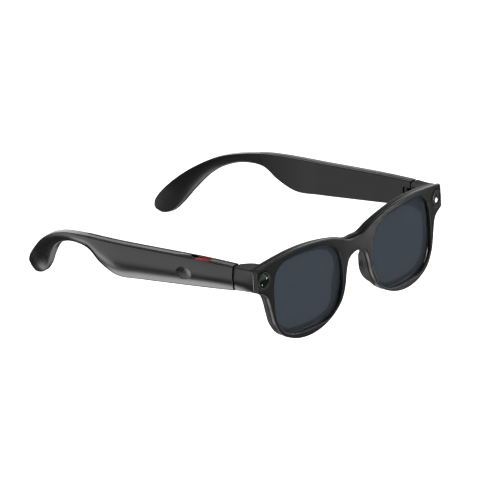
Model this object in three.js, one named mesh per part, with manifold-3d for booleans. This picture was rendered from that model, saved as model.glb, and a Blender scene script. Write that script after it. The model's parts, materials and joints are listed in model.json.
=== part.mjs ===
// Smart glasses with a camera and a light in the corners of the front, speakers in the temples,
// and two folding temples. Millimetres, +Z up. The glasses look along -Y, +X is the wearer's left.
//
// Everything is modelled in the wearing position: the brow's top outer corner is at z = 0, the front
// face of that corner is at y = 0 and the temples run straight back along +Y. At the end the whole
// model is tipped back by a few degrees, until it stands on its rims and on its two ear tips.

import * as THREE from "three";
import { mergeVertices } from "three/addons/utils/BufferGeometryUtils.js";
import Module from "manifold-3d";

const wasm = await Module();
wasm.setup();

// ---- Driving dimensions ---------------------------------------------------------------------------

const LENS_WIDTH = 50;          // visible lens opening
const LENS_HEIGHT = 39;
const BRIDGE = 23.8;            // between the two lens openings
const RIM_WIDTH = 2.9;
const WRAP = 4.3;               // how far the bridge stands in front of the corners
const PLATE = 1.8;              // thickness of the front plate
const SEAM = 0.25;              // dark line between the front plate and the rear frame
const REAR = 3.1;               // thickness of the rear frame's rims
const STEP = 0.35;              // the rear frame is this much smaller all round than the plate
const NOSE_PAD = 3;             // how far a nose pad stands behind the rims
const LENS = 1.8;               // lens thickness
const LENS_LIP = 0.8;           // hidden edge of the lens, all round the opening
const EYE_RADIUS = 4.0;         // camera bezel and light bezel
const EYE_EDGE = 0.7;           // from a bezel to the side of the front
const CORNER_HEIGHT = 11.4;     // height of the corner that carries the camera or the light
const CORNER_DEPTH = 13.5;      // front face to the temple gap
const POCKET_WALL = 1.1;        // walls round the camera and the light
const BLADE = 70;               // the straight part of the temple
const EAR = 71.2;                // from there to the rearmost point of the ear tip
const CROWN = 1.4;              // how far the temple's outer face bulges past its edges
const WALL = 1.2;               // moulded walls of the temple shell
const COVER = 1.4;              // thickness of the temple's inner cover
const BATTERY_THICK = 2.6;
const BOARD = 0.8;              // circuit boards
const HINGE_GAP = 0.45;         // gap between the end piece and the temple
const HINGE_BACK = 3.8;         // hinge axis, behind that gap
const HINGE_HEIGHT = 6.6;       // all the knuckles together
const PIN_RADIUS = 0.5;         // hinge pin and screws
const KNUCKLE_RADIUS = 1.45;
const LEAF = 1.2;               // thickness of a hinge leaf
const SWITCH_SLOT = 19;         // length of the slot of the power switch
const SWITCH_KNOB = 6.6;        // length of its knob
const DIMPLE_RADIUS = 4.5;      // touch area
const DIMPLE_DEPTH = 0.7;
const FIT = 0.15;               // clearance of small fitted pieces
const GAP = 0.3;                // clearance of everything else

// ---- Values worked out from them ------------------------------------------------------------------

const THROUGH = 3;                                 // how far a cutting tool overshoots
const ROUND = 24;                                  // sides of a round piece

// Front: from the lens opening out to the side come the lens lip, the pocket's wall and the bezel.
const CORNER_WIDTH = LENS_LIP + GAP + 0.2 + POCKET_WALL + 2 * EYE_RADIUS + EYE_EDGE;
const HALF = BRIDGE / 2 + LENS_WIDTH + CORNER_WIDTH;
const LENS_X = (BRIDGE + LENS_WIDTH) / 2;
const LENS_TOP = 0.6;
const LENS_MID = LENS_TOP - LENS_HEIGHT / 2;
const FRONT_BOTTOM = LENS_TOP - LENS_HEIGHT - RIM_WIDTH;
const REAR_FRONT = PLATE + SEAM;
const REAR_BACK = REAR_FRONT + REAR;
const EYE_X = HALF - EYE_EDGE - EYE_RADIUS;
const EYE_DROP = CORNER_HEIGHT / 2 - 0.1;
const EYE_TURN = THREE.MathUtils.radToDeg(Math.atan(2 * WRAP * EYE_X / HALF ** 2));
const POCKET_BACK = CORNER_DEPTH - 3.3;
const POCKET_TOP = -POCKET_WALL - 0.2;
const POCKET_BOTTOM = POCKET_WALL + 0.3 - CORNER_HEIGHT;

// Temple: the battery sets its thickness.
const TEMPLE_TOP = COVER + GAP + BATTERY_THICK + GAP + WALL - 0.6 * CROWN;
const TEMPLE_START = CORNER_DEPTH + HINGE_GAP;
const INNER = HALF - 0.2 - TEMPLE_TOP;             // the flat inner face of the temple
const SHELL_IN = INNER + COVER;                    // where the cover ends and the shell begins
const INSIDE = SHELL_IN + GAP;                     // first free depth behind the cover

// Hinge
const HINGE_X = INNER + KNUCKLE_RADIUS;
const HINGE_Y = CORNER_DEPTH + HINGE_BACK;
const HINGE_Z = -CORNER_HEIGHT / 2 - 0.7;
const HINGE_TOP = HINGE_Z + HINGE_HEIGHT / 2;
const HINGE_BOTTOM = HINGE_Z - HINGE_HEIGHT / 2;
const FOOT_X = EYE_X - 1.9;                        // screw of the front leaf
const FOOT_Y = POCKET_BACK - GAP - LEAF;
const PLATE_END = HINGE_Y + 7;
const CAVITY_START = HINGE_Y + 3.65;
const TEMPLE_SCREW_Y = CAVITY_START - 0.8;

// Lengths along the temple, from its front end.
const COVER_LENGTH = BLADE + 20;
const CAVITY_LENGTH = BLADE - 4;
const SWITCH_START = BLADE / 5;
const DIMPLE_BACK = SWITCH_START + SWITCH_SLOT - DIMPLE_RADIUS + 0.5;

// ---- Materials ------------------------------------------------------------------------------------

const paint = (color, roughness, metalness = 0) => () =>
  new THREE.MeshStandardMaterial({ color, roughness, metalness });
const blackPlastic = paint("#1b1b1c", 0.32);
const coverPlastic = paint("#242425", 0.5);
const smokeLens = () => new THREE.MeshStandardMaterial(
  { color: "#2b333c", roughness: 0.06, metalness: 0, transparent: true, opacity: 0.8 });
const darkGlass = paint("#05070a", 0.05);
const barrelBlack = paint("#101010", 0.6);
const whiteWindow = paint("#f4f6f8", 0.3);
const boardGreen = paint("#1d3b2c", 0.6);
const flexAmber = paint("#6a4418", 0.5);
const hingeSteel = paint("#55575a", 0.35, 1);
const contactGold = paint("#caa24a", 0.25, 1);
const batteryFoil = paint("#b9bcc0", 0.4, 0.6);
const speakerBlack = paint("#161616", 0.7);
const meshSteel = paint("#2c2d2f", 0.5, 0.8);
const redPlastic = paint("#a5231d", 0.45);

// ---- Solids ---------------------------------------------------------------------------------------

// A three.js geometry as a solid that can be cut and joined.
function solid(geometry) {
  geometry.deleteAttribute("normal");
  geometry.deleteAttribute("uv");
  const merged = mergeVertices(geometry, 1e-4);
  return new wasm.Manifold(new wasm.Mesh({
    numProp: 3,
    vertProperties: new Float32Array(merged.attributes.position.array),
    triVerts: new Uint32Array(merged.index.array),
  }));
}

function geometryOf(body) {
  const mesh = body.getMesh();
  const geometry = new THREE.BufferGeometry();
  geometry.setAttribute("position", new THREE.BufferAttribute(mesh.vertProperties, 3));
  geometry.setIndex(new THREE.BufferAttribute(mesh.triVerts, 1));
  geometry.computeVertexNormals();
  return geometry;
}

// A box between two corners.
function block(x0, x1, y0, y1, z0, z1) {
  const box = new THREE.BoxGeometry(x1 - x0, y1 - y0, z1 - z0);
  return solid(box.translate((x0 + x1) / 2, (y0 + y1) / 2, (z0 + z1) / 2));
}

// A round rod that starts at (x, y, z) and runs along X, Y or Z.
function rod(axis, radius, length, x, y, z, sides = ROUND) {
  const bar = new THREE.CylinderGeometry(radius, radius, length, sides);
  bar.translate(0, length / 2, 0);
  if (axis === "x") bar.rotateZ(-Math.PI / 2);
  if (axis === "z") bar.rotateX(Math.PI / 2);
  return solid(bar.translate(x, y, z));
}

// The front bends back towards the corners.
const wrapAt = (x) => WRAP * ((x / HALF) ** 2 - 1);

// A flat outline in X and Z as a body that runs through the whole front.
const REACH = 30;
function prism(outline) {
  const options = { depth: 2 * REACH, bevelEnabled: false };
  const geometry = new THREE.ExtrudeGeometry(new THREE.Shape(outline), options);
  return solid(geometry.rotateX(Math.PI / 2).translate(0, REACH, 0));
}

// A sheet bent like the front, `thick` deep behind the depth `from`.
function sheet(from, thick) {
  const geometry = new THREE.BoxGeometry(2.4 * HALF, thick, -2 * FRONT_BOTTOM, 26, 1, 1);
  const place = geometry.attributes.position;
  for (let i = 0; i < place.count; i += 1) {
    place.setY(i, place.getY(i) + from + thick / 2 + wrapAt(place.getX(i)));
  }
  return solid(geometry.translate(0, 0, FRONT_BOTTOM / 2));
}

// An outline in X and Z, cut out of such a sheet.
const slab = (outline, from, thick) => prism(outline).intersect(sheet(from, thick));

// An outline in X and Y, made `tall` high above z.
function slice(outline, z, tall) {
  const shape = new THREE.Shape(outline.map(([x, y]) => new THREE.Vector2(x, y)));
  const geometry = new THREE.ExtrudeGeometry(shape, { depth: tall, bevelEnabled: false });
  return solid(geometry.translate(0, 0, z));
}

// Moves every point of a closed outline, given anticlockwise, outwards by `by`.
function offset(outline, by) {
  return outline.map((point, i) => {
    const before = outline.at(i - 1);
    const after = outline[(i + 1) % outline.length];
    const along = after.clone().sub(before).normalize();
    return new THREE.Vector2(point.x + along.y * by, point.y - along.x * by);
  });
}

const mirrored = (body) => body.mirror([1, 0, 0]);
const forSide = (body, side) => (side > 0 ? body : mirrored(body));

// ---- Outlines of the front ------------------------------------------------------------------------

// A smooth closed or open curve through the given points, as `count` points.
function through(points, count, closed = false) {
  const path = new THREE.CatmullRomCurve3(
    points.map(([x, z]) => new THREE.Vector3(x, z, 0)), closed, "centripetal");
  const list = path.getSpacedPoints(count).map((p) => new THREE.Vector2(p.x, p.y));
  return closed ? list.slice(0, -1) : list;
}

// Brow, from the bridge to the corner: shares of the half width, and heights.
const BROW = [[0.07, -3.7], [0.165, -1.1], [0.275, 1.2], [0.44, 2.9], [0.63, 3.4], [0.82, 2.3]];
// Rim, from under the corner round the bottom to the bridge: shares of half the lens with its rim,
// from the middle of the lens.
const RIM = [[1.072, 0.208], [1.011, 0.032], [0.964, -0.207], [0.896, -0.484], [0.731, -0.76],
  [0.483, -0.921], [0.221, -0.994], [-0.041, -0.998], [-0.328, -0.93], [-0.616, -0.773],
  [-0.833, -0.552], [-0.948, -0.262], [-1.009, 0.051], [-1.1, 0.281]];
// Nose pad: down along the rim's outer edge and back up inside it, in the same shares.
const PAD = [[-1.019, 0.235], [-0.951, -0.004], [-0.909, -0.262], [-0.825, -0.502], [-0.716, -0.668],
  [-0.687, -0.557], [-0.773, -0.373], [-0.825, -0.078], [-0.878, 0.18]];
const BRIDGE_TOP = -4;
const BRIDGE_UNDER = -10.6;
const BRIDGE_RISE = 1.2;                           // the rear frame is taller than the plate here
const PAD_ROOT = 1.2;                              // how deep a nose pad is sunk into the rim
const SHOULDER = [[3, -0.7], [1, 0]];              // under the corner: from the side, from its bottom

const rimPoint = ([u, v]) =>
  [LENS_X + u * (LENS_WIDTH / 2 + RIM_WIDTH), LENS_MID + v * (LENS_HEIGHT / 2 + RIM_WIDTH)];
const flip = (points) => points.map(([x, z]) => [-x, z]).reverse();

// The front plate's outline, anticlockwise. `rise` lifts the top of the bridge.
function frontOutline(rise = 0) {
  const lift = (share) => rise * Math.max(0, 1 - share / BROW[2][0]);
  const brow = BROW.map(([share, z]) => [share * HALF, z + lift(share)]);
  const leftTop = [[HALF - 0.8, 0.55], ...brow.reverse()];
  const shoulder = SHOULDER.map(([x, z]) => [HALF - x, z - CORNER_HEIGHT]);
  const leftRim = [...RIM.map(rimPoint).reverse(), ...shoulder];
  const side = [[HALF, 0.9 - CORNER_HEIGHT], [HALF, -0.5]];
  const corners = (points) => points.map(([x, z]) => new THREE.Vector2(x, z));
  return [
    ...through([...leftTop, [0, BRIDGE_TOP + rise], ...flip(leftTop)], 60),
    ...corners(flip(side)),
    ...through([...flip(leftRim), [0, BRIDGE_UNDER], ...leftRim], 108),
    ...corners(side),
  ];
}

// A lens opening, anticlockwise: shares of half the lens from its middle, nose side negative.
const LENS_CURVE = [[1, 0.12], [0.99, 0.4], [0.92, 0.72], [0.72, 0.93], [0.42, 1], [0.08, 0.995],
  [-0.26, 0.965], [-0.56, 0.89], [-0.81, 0.75], [-0.95, 0.5], [-1, 0.16], [-0.98, -0.18],
  [-0.9, -0.5], [-0.76, -0.76], [-0.55, -0.92], [-0.28, -0.99], [0.02, -1], [0.34, -0.985],
  [0.64, -0.9], [0.86, -0.68], [0.97, -0.36]];

function lensOutline(grow = 0) {
  const points = LENS_CURVE.map(([u, v]) =>
    [LENS_X + u * LENS_WIDTH / 2, LENS_MID + v * LENS_HEIGHT / 2]);
  return offset(through(points, 40, true), grow);
}

// ---- Front ----------------------------------------------------------------------------------------

const lensHole = (grow, from, thick) => {
  const left = slab(lensOutline(grow), from, thick);
  return left.add(mirrored(left));
};

// A round hole or plug in a corner, square to the bent face there.
const eye = (radius, from, thick, side) => {
  const plug = rod("y", radius, thick, 0, from, 0).rotate([0, 0, side * EYE_TURN]);
  return plug.translate([side * EYE_X, wrapAt(EYE_X), -EYE_DROP]);
};

function frontPlate() {
  let body = slab(frontOutline(), 0, PLATE);
  body = body.subtract(lensHole(0, -THROUGH, PLATE + 2 * THROUGH));
  for (const side of [-1, 1]) {
    body = body.subtract(eye(EYE_RADIUS + FIT, -THROUGH, PLATE + 2 * THROUGH, side));
  }
  return body;
}

// The end piece behind one corner, as a plan: it narrows towards the temple.
function endPiece() {
  const inner = EYE_X - EYE_RADIUS - POCKET_WALL;
  const plan = [
    [inner - 3, REAR_FRONT], [HALF - STEP, REAR_FRONT + 0.3], [HALF - 0.2, CORNER_DEPTH],
    [INNER - 0.4, CORNER_DEPTH], [inner - 0.2, POCKET_BACK + 0.6], [inner - 1.4, REAR_BACK],
  ];
  return slice(plan, 0.2 - CORNER_HEIGHT, CORNER_HEIGHT - 0.4);
}

// The room for the camera or the light, open towards the front plate.
function pocket() {
  return block(EYE_X - EYE_RADIUS + 0.3, HALF - POCKET_WALL - STEP, -THROUGH, POCKET_BACK,
    POCKET_BOTTOM, POCKET_TOP);
}

// A nose pad: a wing moulded on the nose side of the rim, standing back from it.
const nosePad = () =>
  slab(through(PAD.map(rimPoint), 28, true), REAR_BACK - PAD_ROOT, NOSE_PAD + PAD_ROOT);

// A ribbon that follows the brow from one corner pocket to the other.
function browRibbon(tall, from, thick, grow) {
  const reach = EYE_X - EYE_RADIUS + 1.5 + grow;
  const inside = offset(frontOutline(), -STEP - 0.9)
    .filter((p) => p.y > BRIDGE_TOP - 2 && Math.abs(p.x) < reach);
  const high = inside.map((p) => new THREE.Vector2(p.x, p.y + tall / 2));
  const low = inside.map((p) => new THREE.Vector2(p.x, p.y - tall / 2)).reverse();
  return slab([...high, ...low], from, thick);
}

function rearFrame() {
  let body = slab(offset(frontOutline(BRIDGE_RISE), -STEP), REAR_FRONT, REAR);
  for (const side of [-1, 1]) {
    body = body.add(forSide(endPiece(), side));
    body = body.add(forSide(nosePad(), side));
  }
  body = body.subtract(lensHole(LENS_LIP + GAP, -THROUGH, THROUGH + REAR_FRONT + LENS + FIT));
  body = body.subtract(lensHole(-1, -THROUGH, REAR_BACK + NOSE_PAD + 2 * THROUGH));
  body = body.subtract(browRibbon(0.9, REAR_FRONT - 1, 1.7, 0));
  for (const side of [-1, 1]) {
    body = body.subtract(forSide(pocket(), side));
    body = body.subtract(forSide(leafSlot(), side));
    body = body.subtract(forSide(frontScrew(PIN_RADIUS + FIT, 0), side));
  }
  return body.subtract(microphonePort());
}

// The sound hole on top of the left end piece, a narrow slit.
function microphonePort() {
  const slit = block(-0.25, 0.25, -1.8, 1.8, -2.2, 1);
  return slit.rotate([0, 0, 22]).translate([EYE_X + 0.6, CORNER_DEPTH - 3.4, 0]);
}

const lensBody = () => slab(lensOutline(LENS_LIP), REAR_FRONT + 0.05, LENS);

// ---- Camera and light -----------------------------------------------------------------------------

const BEZEL_PROUD = 0.25;
const BEZEL_DEPTH = PLATE + BEZEL_PROUD - 0.05;
const WINDOW_RADIUS = EYE_RADIUS - 0.85;
const SPOT_RADIUS = 1.1;                           // the white window of the light
const SENSOR_RADIUS = 0.75;                        // the dark window of the light sensor
const SPOT_DROP = 0.95;
const SENSOR_RISE = 2;

function cameraBezel() {
  const ring = eye(EYE_RADIUS, -BEZEL_PROUD, BEZEL_DEPTH, -1);
  return ring.subtract(eye(WINDOW_RADIUS + FIT, -THROUGH, BEZEL_DEPTH + 2 * THROUGH, -1));
}

function lightBezel() {
  const disc = eye(EYE_RADIUS, -BEZEL_PROUD, BEZEL_DEPTH, 1);
  const spot = eye(SPOT_RADIUS + FIT, -THROUGH, BEZEL_DEPTH + 2 * THROUGH, 1);
  const sensor = eye(SENSOR_RADIUS + FIT, -THROUGH, BEZEL_DEPTH + 2 * THROUGH, 1);
  return disc.subtract(spot.translate([0, 0, -SPOT_DROP]))
    .subtract(sensor.translate([0, 0, SENSOR_RISE]));
}

const cameraWindow = () => eye(WINDOW_RADIUS, 0.1, 0.9, -1);
const lightWindow = () => eye(SPOT_RADIUS, 0, 1.6, 1).translate([0, 0, -SPOT_DROP]);
const sensorWindow = () => eye(SENSOR_RADIUS, 0.3, 1.2, 1).translate([0, 0, SENSOR_RISE]);

function cameraBarrel() {
  const front = eye(WINDOW_RADIUS - 0.5, 1.3, 2.2, -1);
  const back = eye(WINDOW_RADIUS - 0.2, REAR_FRONT + 0.4, 2.4, -1);
  return front.add(back).subtract(eye(1.1, 0, 2.2, -1));
}

function eyeBoard(side, depth) {
  const wide = EYE_RADIUS - 1;
  const tall = CORNER_HEIGHT / 2 - 1.7;
  const board = block(-wide, wide, depth, depth + BOARD, -tall, tall).rotate([0, 0, side * EYE_TURN]);
  return board.translate([side * (EYE_X + 0.1), wrapAt(EYE_X), -EYE_DROP]);
}

function microphone() {
  return block(EYE_X - 1, EYE_X + 2, POCKET_BACK - 3.3, POCKET_BACK - 0.6, POCKET_TOP - 1.4,
    POCKET_TOP - GAP);
}

// ---- Hinge ----------------------------------------------------------------------------------------

const KNUCKLES = HINGE_HEIGHT - 2 * FIT;           // room for three knuckles between two gaps
const MIDDLE = KNUCKLES * 0.4;
const bore = () => rod("z", PIN_RADIUS + FIT, HINGE_HEIGHT + 2 * THROUGH, HINGE_X, HINGE_Y,
  HINGE_BOTTOM - THROUGH, 16);
const knuckle = (z, tall) => rod("z", KNUCKLE_RADIUS, tall, HINGE_X, HINGE_Y, z, 20);

// The leaf on the end piece: a foot in the pocket, an arm through the gap and the middle knuckle.
function frontLeaf() {
  const z = HINGE_Z - MIDDLE / 2;
  const arm = block(HINGE_X - LEAF / 2, HINGE_X + LEAF / 2, FOOT_Y, HINGE_Y, z, z + MIDDLE);
  const foot = block(FOOT_X - 1.5, HINGE_X + LEAF / 2, FOOT_Y, FOOT_Y + LEAF,
    HINGE_Z - 2.4, HINGE_Z + 2.4);
  return arm.add(foot).add(knuckle(z, MIDDLE)).subtract(bore())
    .subtract(frontScrew(PIN_RADIUS + FIT, GAP));
}

// The hole in the end piece's back wall that the arm passes through.
function leafSlot() {
  return block(HINGE_X - LEAF / 2 - GAP, HINGE_X + LEAF / 2 + GAP, POCKET_BACK - THROUGH,
    CORNER_DEPTH + THROUGH, HINGE_Z - MIDDLE / 2 - GAP, HINGE_Z + MIDDLE / 2 + GAP);
}

// The screw that holds the front leaf, or with `grow` the hole for it.
const frontScrew = (radius, grow) =>
  rod("y", radius, LEAF + 3 + 2 * grow, FOOT_X, FOOT_Y - 0.6, HINGE_Z, 12);

const frontScrewBody = () => rod("y", PIN_RADIUS, LEAF + 2.8, FOOT_X, FOOT_Y - 0.7, HINGE_Z, 12)
  .add(rod("y", 2 * PIN_RADIUS, 0.5, FOOT_X, FOOT_Y - 0.7, HINGE_Z, 12));

// The leaf in the temple: two knuckles and a plate that lies along the shell.
function templeLeaf() {
  const side = (KNUCKLES - MIDDLE) / 2;
  const plate = block(INSIDE, INSIDE + LEAF, HINGE_Y + 0.2, PLATE_END, HINGE_BOTTOM, HINGE_TOP);
  const swing = rod("z", KNUCKLE_RADIUS + GAP, MIDDLE + 2 * FIT, HINGE_X, HINGE_Y,
    HINGE_Z - MIDDLE / 2 - FIT);
  return plate.subtract(swing).add(knuckle(HINGE_BOTTOM, side)).add(knuckle(HINGE_TOP - side, side))
    .subtract(bore()).subtract(templeScrewHole());
}

const templeScrewHole = () =>
  rod("x", PIN_RADIUS + FIT, 4, INSIDE - 1, TEMPLE_SCREW_Y, HINGE_Z, 12);
const templeScrewBody = () =>
  rod("x", PIN_RADIUS, LEAF + 1.2, INSIDE + 0.05, TEMPLE_SCREW_Y, HINGE_Z, 12);

const hingePin = () =>
  rod("z", PIN_RADIUS, HINGE_HEIGHT + 0.4, HINGE_X, HINGE_Y, HINGE_BOTTOM - 0.2, 16);

// The notch in the front end of the temple that the knuckles and the arm turn in.
function hingeNotch() {
  return block(INNER - THROUGH, HINGE_X + KNUCKLE_RADIUS + GAP, TEMPLE_START - THROUGH,
    HINGE_Y + KNUCKLE_RADIUS + GAP, HINGE_BOTTOM - GAP, HINGE_TOP + GAP);
}

// The slot between the notch and the hollow of the temple, for the plate of the leaf.
function plateSlot() {
  return block(SHELL_IN - FIT, INSIDE + LEAF + GAP, HINGE_Y, CAVITY_START + 1,
    HINGE_BOTTOM - GAP, HINGE_TOP + GAP);
}

// ---- Temple ---------------------------------------------------------------------------------------

// Top edge and bottom edge of the temple's inner face at matching stations. The first number is how
// far the ear end curls inwards, the second the place (0 to 1 along the blade, 1 to 2 along the
// ear), the third the height.
const TOP_EDGE = [[0, 0, 0.6], [0, 0.26, 1.2], [0, 0.54, 1.3], [0, 0.79, 1.3], [0, 1, 1.4],
  [0.5, 1.149, 1.5], [1.5, 1.282, 1.4], [3.4, 1.414, 0.5], [6, 1.541, -1.1], [9.3, 1.66, -4.2],
  [13.3, 1.782, -9.1], [17, 1.888, -15], [19.2, 1.966, -20.7], [20.2, 1.998, -24.5],
  [20.5, 2, -26.7]];
const BOTTOM_EDGE = [[0, 0, -11.7], [0, 0.26, -12.9], [0, 0.54, -14], [0, 0.79, -14.9],
  [0, 1, -15.2], [0.5, 1.141, -10.8], [1.5, 1.251, -4.9], [3.4, 1.394, -3.8], [6, 1.512, -5.7],
  [9.3, 1.616, -9.9], [13.3, 1.71, -17], [17, 1.786, -23.9], [19.2, 1.86, -28.8],
  [20.2, 1.935, -30.1], [20.5, 1.98, -28.9]];
// Thickness at the edges as a share of the top width, bulge outwards and bulge inwards.
const GIRTH = [[1, 0.7, 0], [1, 1, 0], [1, 1, 0], [1, 1, 0], [1, 0.95, 0], [0.97, 0.65, 0],
  [0.91, 0.36, 0.1], [0.87, 0.36, 0.3], [0.83, 0.36, 0.36], [0.8, 0.43, 0.43], [0.76, 0.5, 0.5],
  [0.74, 0.5, 0.5], [0.7, 0.43, 0.43], [0.6, 0.3, 0.3], [0.45, 0.15, 0.15]];

const curve = (points) => new THREE.CatmullRomCurve3(points, false, "centripetal");
const backTo = (place) => Math.min(place, 1) * BLADE + Math.max(0, place - 1) * EAR;
const edgeCurve = (list) => curve(list.map(([curl, place, z]) =>
  new THREE.Vector3(INNER - curl, TEMPLE_START + backTo(place), z)));
const topEdge = edgeCurve(TOP_EDGE);
const bottomEdge = edgeCurve(BOTTOM_EDGE);
const girth = curve(GIRTH.map((g) => new THREE.Vector3(...g)));

// The middle of the inner face at station t.
const spine = (t) => topEdge.getPoint(t).add(bottomEdge.getPoint(t)).multiplyScalar(0.5);

// One section of the temple at station t of 0 to 1, as points in space. `wall` shrinks it on all
// sides but the inner one, which `inner` moves outwards.
function templeSection(t, wall = 0, inner = 0) {
  const height = topEdge.getPoint(t).sub(bottomEdge.getPoint(t));
  const along = spine(Math.min(1, t + 0.01)).sub(spine(Math.max(0, t - 0.01)));
  const outward = along.cross(height).normalize();
  const up = height.clone().normalize();
  const half = height.length() / 2 - wall;
  const shape = girth.getPoint(t);
  const thick = TEMPLE_TOP * shape.x - wall;
  const soft = Math.min(0.7, half * 0.3, thick * 0.3);
  const profile = [[inner, half - soft], [inner + soft * 0.6, half], [thick - soft, half]];
  for (const v of [0.8, 0.4, 0, -0.4, -0.8]) {
    profile.push([thick + CROWN * shape.y * (1 - v * v), v * half]);
  }
  profile.push([thick - soft, -half], [inner + soft * 0.6, -half], [inner, soft - half]);
  if (inner === 0) profile.push([-CROWN * shape.z, 0]);
  return profile.map(([across, high]) =>
    spine(t).addScaledVector(outward, across).addScaledVector(up, high));
}

// A closed body through the sections between two stations.
function templeLoft(from, to, steps, wall = 0, inner = 0) {
  const rings = [];
  for (let i = 0; i <= steps; i += 1) {
    rings.push(templeSection(from + (to - from) * i / steps, wall, inner));
  }
  const sides = rings[0].length;
  const positions = rings.flat().flatMap((p) => [p.x, p.y, p.z]);
  const faces = [];
  for (let i = 0; i < steps; i += 1) {
    for (let j = 0; j < sides; j += 1) {
      const a = i * sides + j;
      const b = i * sides + (j + 1) % sides;
      faces.push(a, b, a + sides, b, b + sides, a + sides);
    }
  }
  const cap = (start, flip) => {
    for (let j = 1; j < sides - 1; j += 1) {
      faces.push(start, start + (flip ? j : j + 1), start + (flip ? j + 1 : j));
    }
  };
  cap(0, false);
  cap(steps * sides, true);
  const geometry = new THREE.BufferGeometry();
  geometry.setAttribute("position", new THREE.Float32BufferAttribute(positions, 3));
  geometry.setIndex(faces);
  return solid(geometry);
}

// The station whose inner face is `distance` behind the start of the temple.
function stationAt(distance) {
  let t = 0;
  while (topEdge.getPoint(t).y - TEMPLE_START < distance) t += 0.001;
  return t;
}

// The inner cover is the part of the temple within COVER of its inner face.
const coverZone = (extra) => block(INNER - THROUGH, SHELL_IN + extra, TEMPLE_START - THROUGH,
  TEMPLE_START + COVER_LENGTH + extra, FRONT_BOTTOM, THROUGH);

function templeCover(side) {
  const body = templeLoft(0, stationAt(COVER_LENGTH), 18).intersect(coverZone(0))
    .subtract(hingeNotch());
  return side < 0 ? body.subtract(contactHoles()) : body;
}

function templeShell(side) {
  let body = templeLoft(0, 1, 46).subtract(coverZone(FIT));
  const cavityFrom = stationAt(CAVITY_START - TEMPLE_START);
  const cavityTo = stationAt(CAVITY_START - TEMPLE_START + CAVITY_LENGTH);
  body = body.subtract(templeLoft(cavityFrom, cavityTo, 10, WALL, COVER - 0.1));
  body = body.subtract(hingeNotch()).subtract(plateSlot()).subtract(templeScrewHole());
  body = body.subtract(grilleSlot(FIT));
  return side < 0 ? body.subtract(switchPocket()).subtract(dimple()) : body;
}

// ---- What the temples hold ------------------------------------------------------------------------

// A box in the hollow of the temple that starts at the depth x0.
const boxIn = (y0, y1, z0, z1, x0, thick) => block(x0, x0 + thick, y0, y1, z0, z1);
const PACK_TOP = -1.6;
const PACK_BOTTOM = -10.6;
const BOARD_START = PLATE_END + GAP;
const SPEAKER_START = CAVITY_START + CAVITY_LENGTH - 16.5;
const SLOT_Y = TEMPLE_START + SWITCH_START;

// The right board ends behind the switch, the left one gives the room to a longer battery.
const boardEnd = (side) =>
  (side < 0 ? SLOT_Y + SWITCH_SLOT + 2 : BOARD_START + 0.3 * (SPEAKER_START - BOARD_START));
const circuitBoard = (side) =>
  boxIn(BOARD_START, boardEnd(side), PACK_BOTTOM, PACK_TOP - 1.4, INSIDE, BOARD);
const battery = (side) => boxIn(boardEnd(side) + 1, SPEAKER_START - 1, PACK_BOTTOM, PACK_TOP - 0.6,
  INSIDE, BATTERY_THICK);

function speaker() {
  const body = boxIn(SPEAKER_START, SPEAKER_START + 14, PACK_BOTTOM - 1, PACK_TOP - 0.6, INSIDE, 1.2);
  const motor = rod("x", 3.4, 1.2, INSIDE + 1, SPEAKER_START + 7, (PACK_TOP + PACK_BOTTOM - 1.6) / 2);
  return body.add(motor);
}

// The sound slot in the bottom edge of the temple and the mesh in it.
const GRILLE_Y = SPEAKER_START + 3;
const GRILLE_LENGTH = 8;
const bottomAt = (y) => bottomEdge.getPoint(stationAt(y - TEMPLE_START)).z;
const grilleSlot = (grow) => block(SHELL_IN + 1 - grow, SHELL_IN + 2.4 + grow, GRILLE_Y - grow,
  GRILLE_Y + GRILLE_LENGTH + grow, bottomAt(GRILLE_Y) - THROUGH, bottomAt(GRILLE_Y) + WALL + 1);
const speakerMesh = () => block(SHELL_IN + 1, SHELL_IN + 2.4, GRILLE_Y, GRILLE_Y + GRILLE_LENGTH,
  bottomAt(GRILLE_Y) + 0.7, bottomAt(GRILLE_Y) + 1.1);

// The touch area: a shallow dish in the outer face, and the sensor behind it.
const DIMPLE_Y = TEMPLE_START + DIMPLE_BACK;
const DIMPLE_Z = -7;
function dimple() {
  const radius = (DIMPLE_RADIUS ** 2 + DIMPLE_DEPTH ** 2) / (2 * DIMPLE_DEPTH);
  const surface = INNER + TEMPLE_TOP + CROWN;
  const ball = new THREE.SphereGeometry(radius, 72, 36);
  ball.rotateZ(Math.PI / 2).translate(surface - DIMPLE_DEPTH + radius, DIMPLE_Y, DIMPLE_Z);
  const dish = solid(ball);
  return dish.intersect(rod("x", DIMPLE_RADIUS, 4, surface - 2, DIMPLE_Y, DIMPLE_Z, 32));
}
const touchSensor = () => rod("x", 3.6, 0.4, INSIDE + BOARD + 0.7, DIMPLE_Y, DIMPLE_Z);

// The power switch: a slot in the top edge, a red mark in its floor and a knob that slides over it.
const SLOT_X = SHELL_IN + 0.7;
const SLOT_WIDTH = 2.3;
const SLOT_DEPTH = 0.8;
const SLIT = 0.8;                                  // the stem's slit, along one side of the slot
const SLOT_TOP = topEdge.getPoint(stationAt(SWITCH_START + SWITCH_SLOT / 2)).z;
const MARK = 0.3;
const MARK_LENGTH = SWITCH_SLOT - SWITCH_KNOB - 4;

function switchPocket() {
  const slot = block(SLOT_X, SLOT_X + SLOT_WIDTH, SLOT_Y, SLOT_Y + SWITCH_SLOT, SLOT_TOP - SLOT_DEPTH,
    SLOT_TOP + THROUGH);
  const slit = block(SLOT_X, SLOT_X + SLIT, SLOT_Y, SLOT_Y + SWITCH_SLOT, SLOT_TOP - THROUGH, SLOT_TOP);
  return slot.add(slit);
}

const switchMark = () => block(SLOT_X + SLIT + FIT, SLOT_X + SLOT_WIDTH - FIT, SLOT_Y + FIT,
  SLOT_Y + FIT + MARK_LENGTH, SLOT_TOP - SLOT_DEPTH + 0.05, SLOT_TOP - SLOT_DEPTH + MARK);

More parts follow.
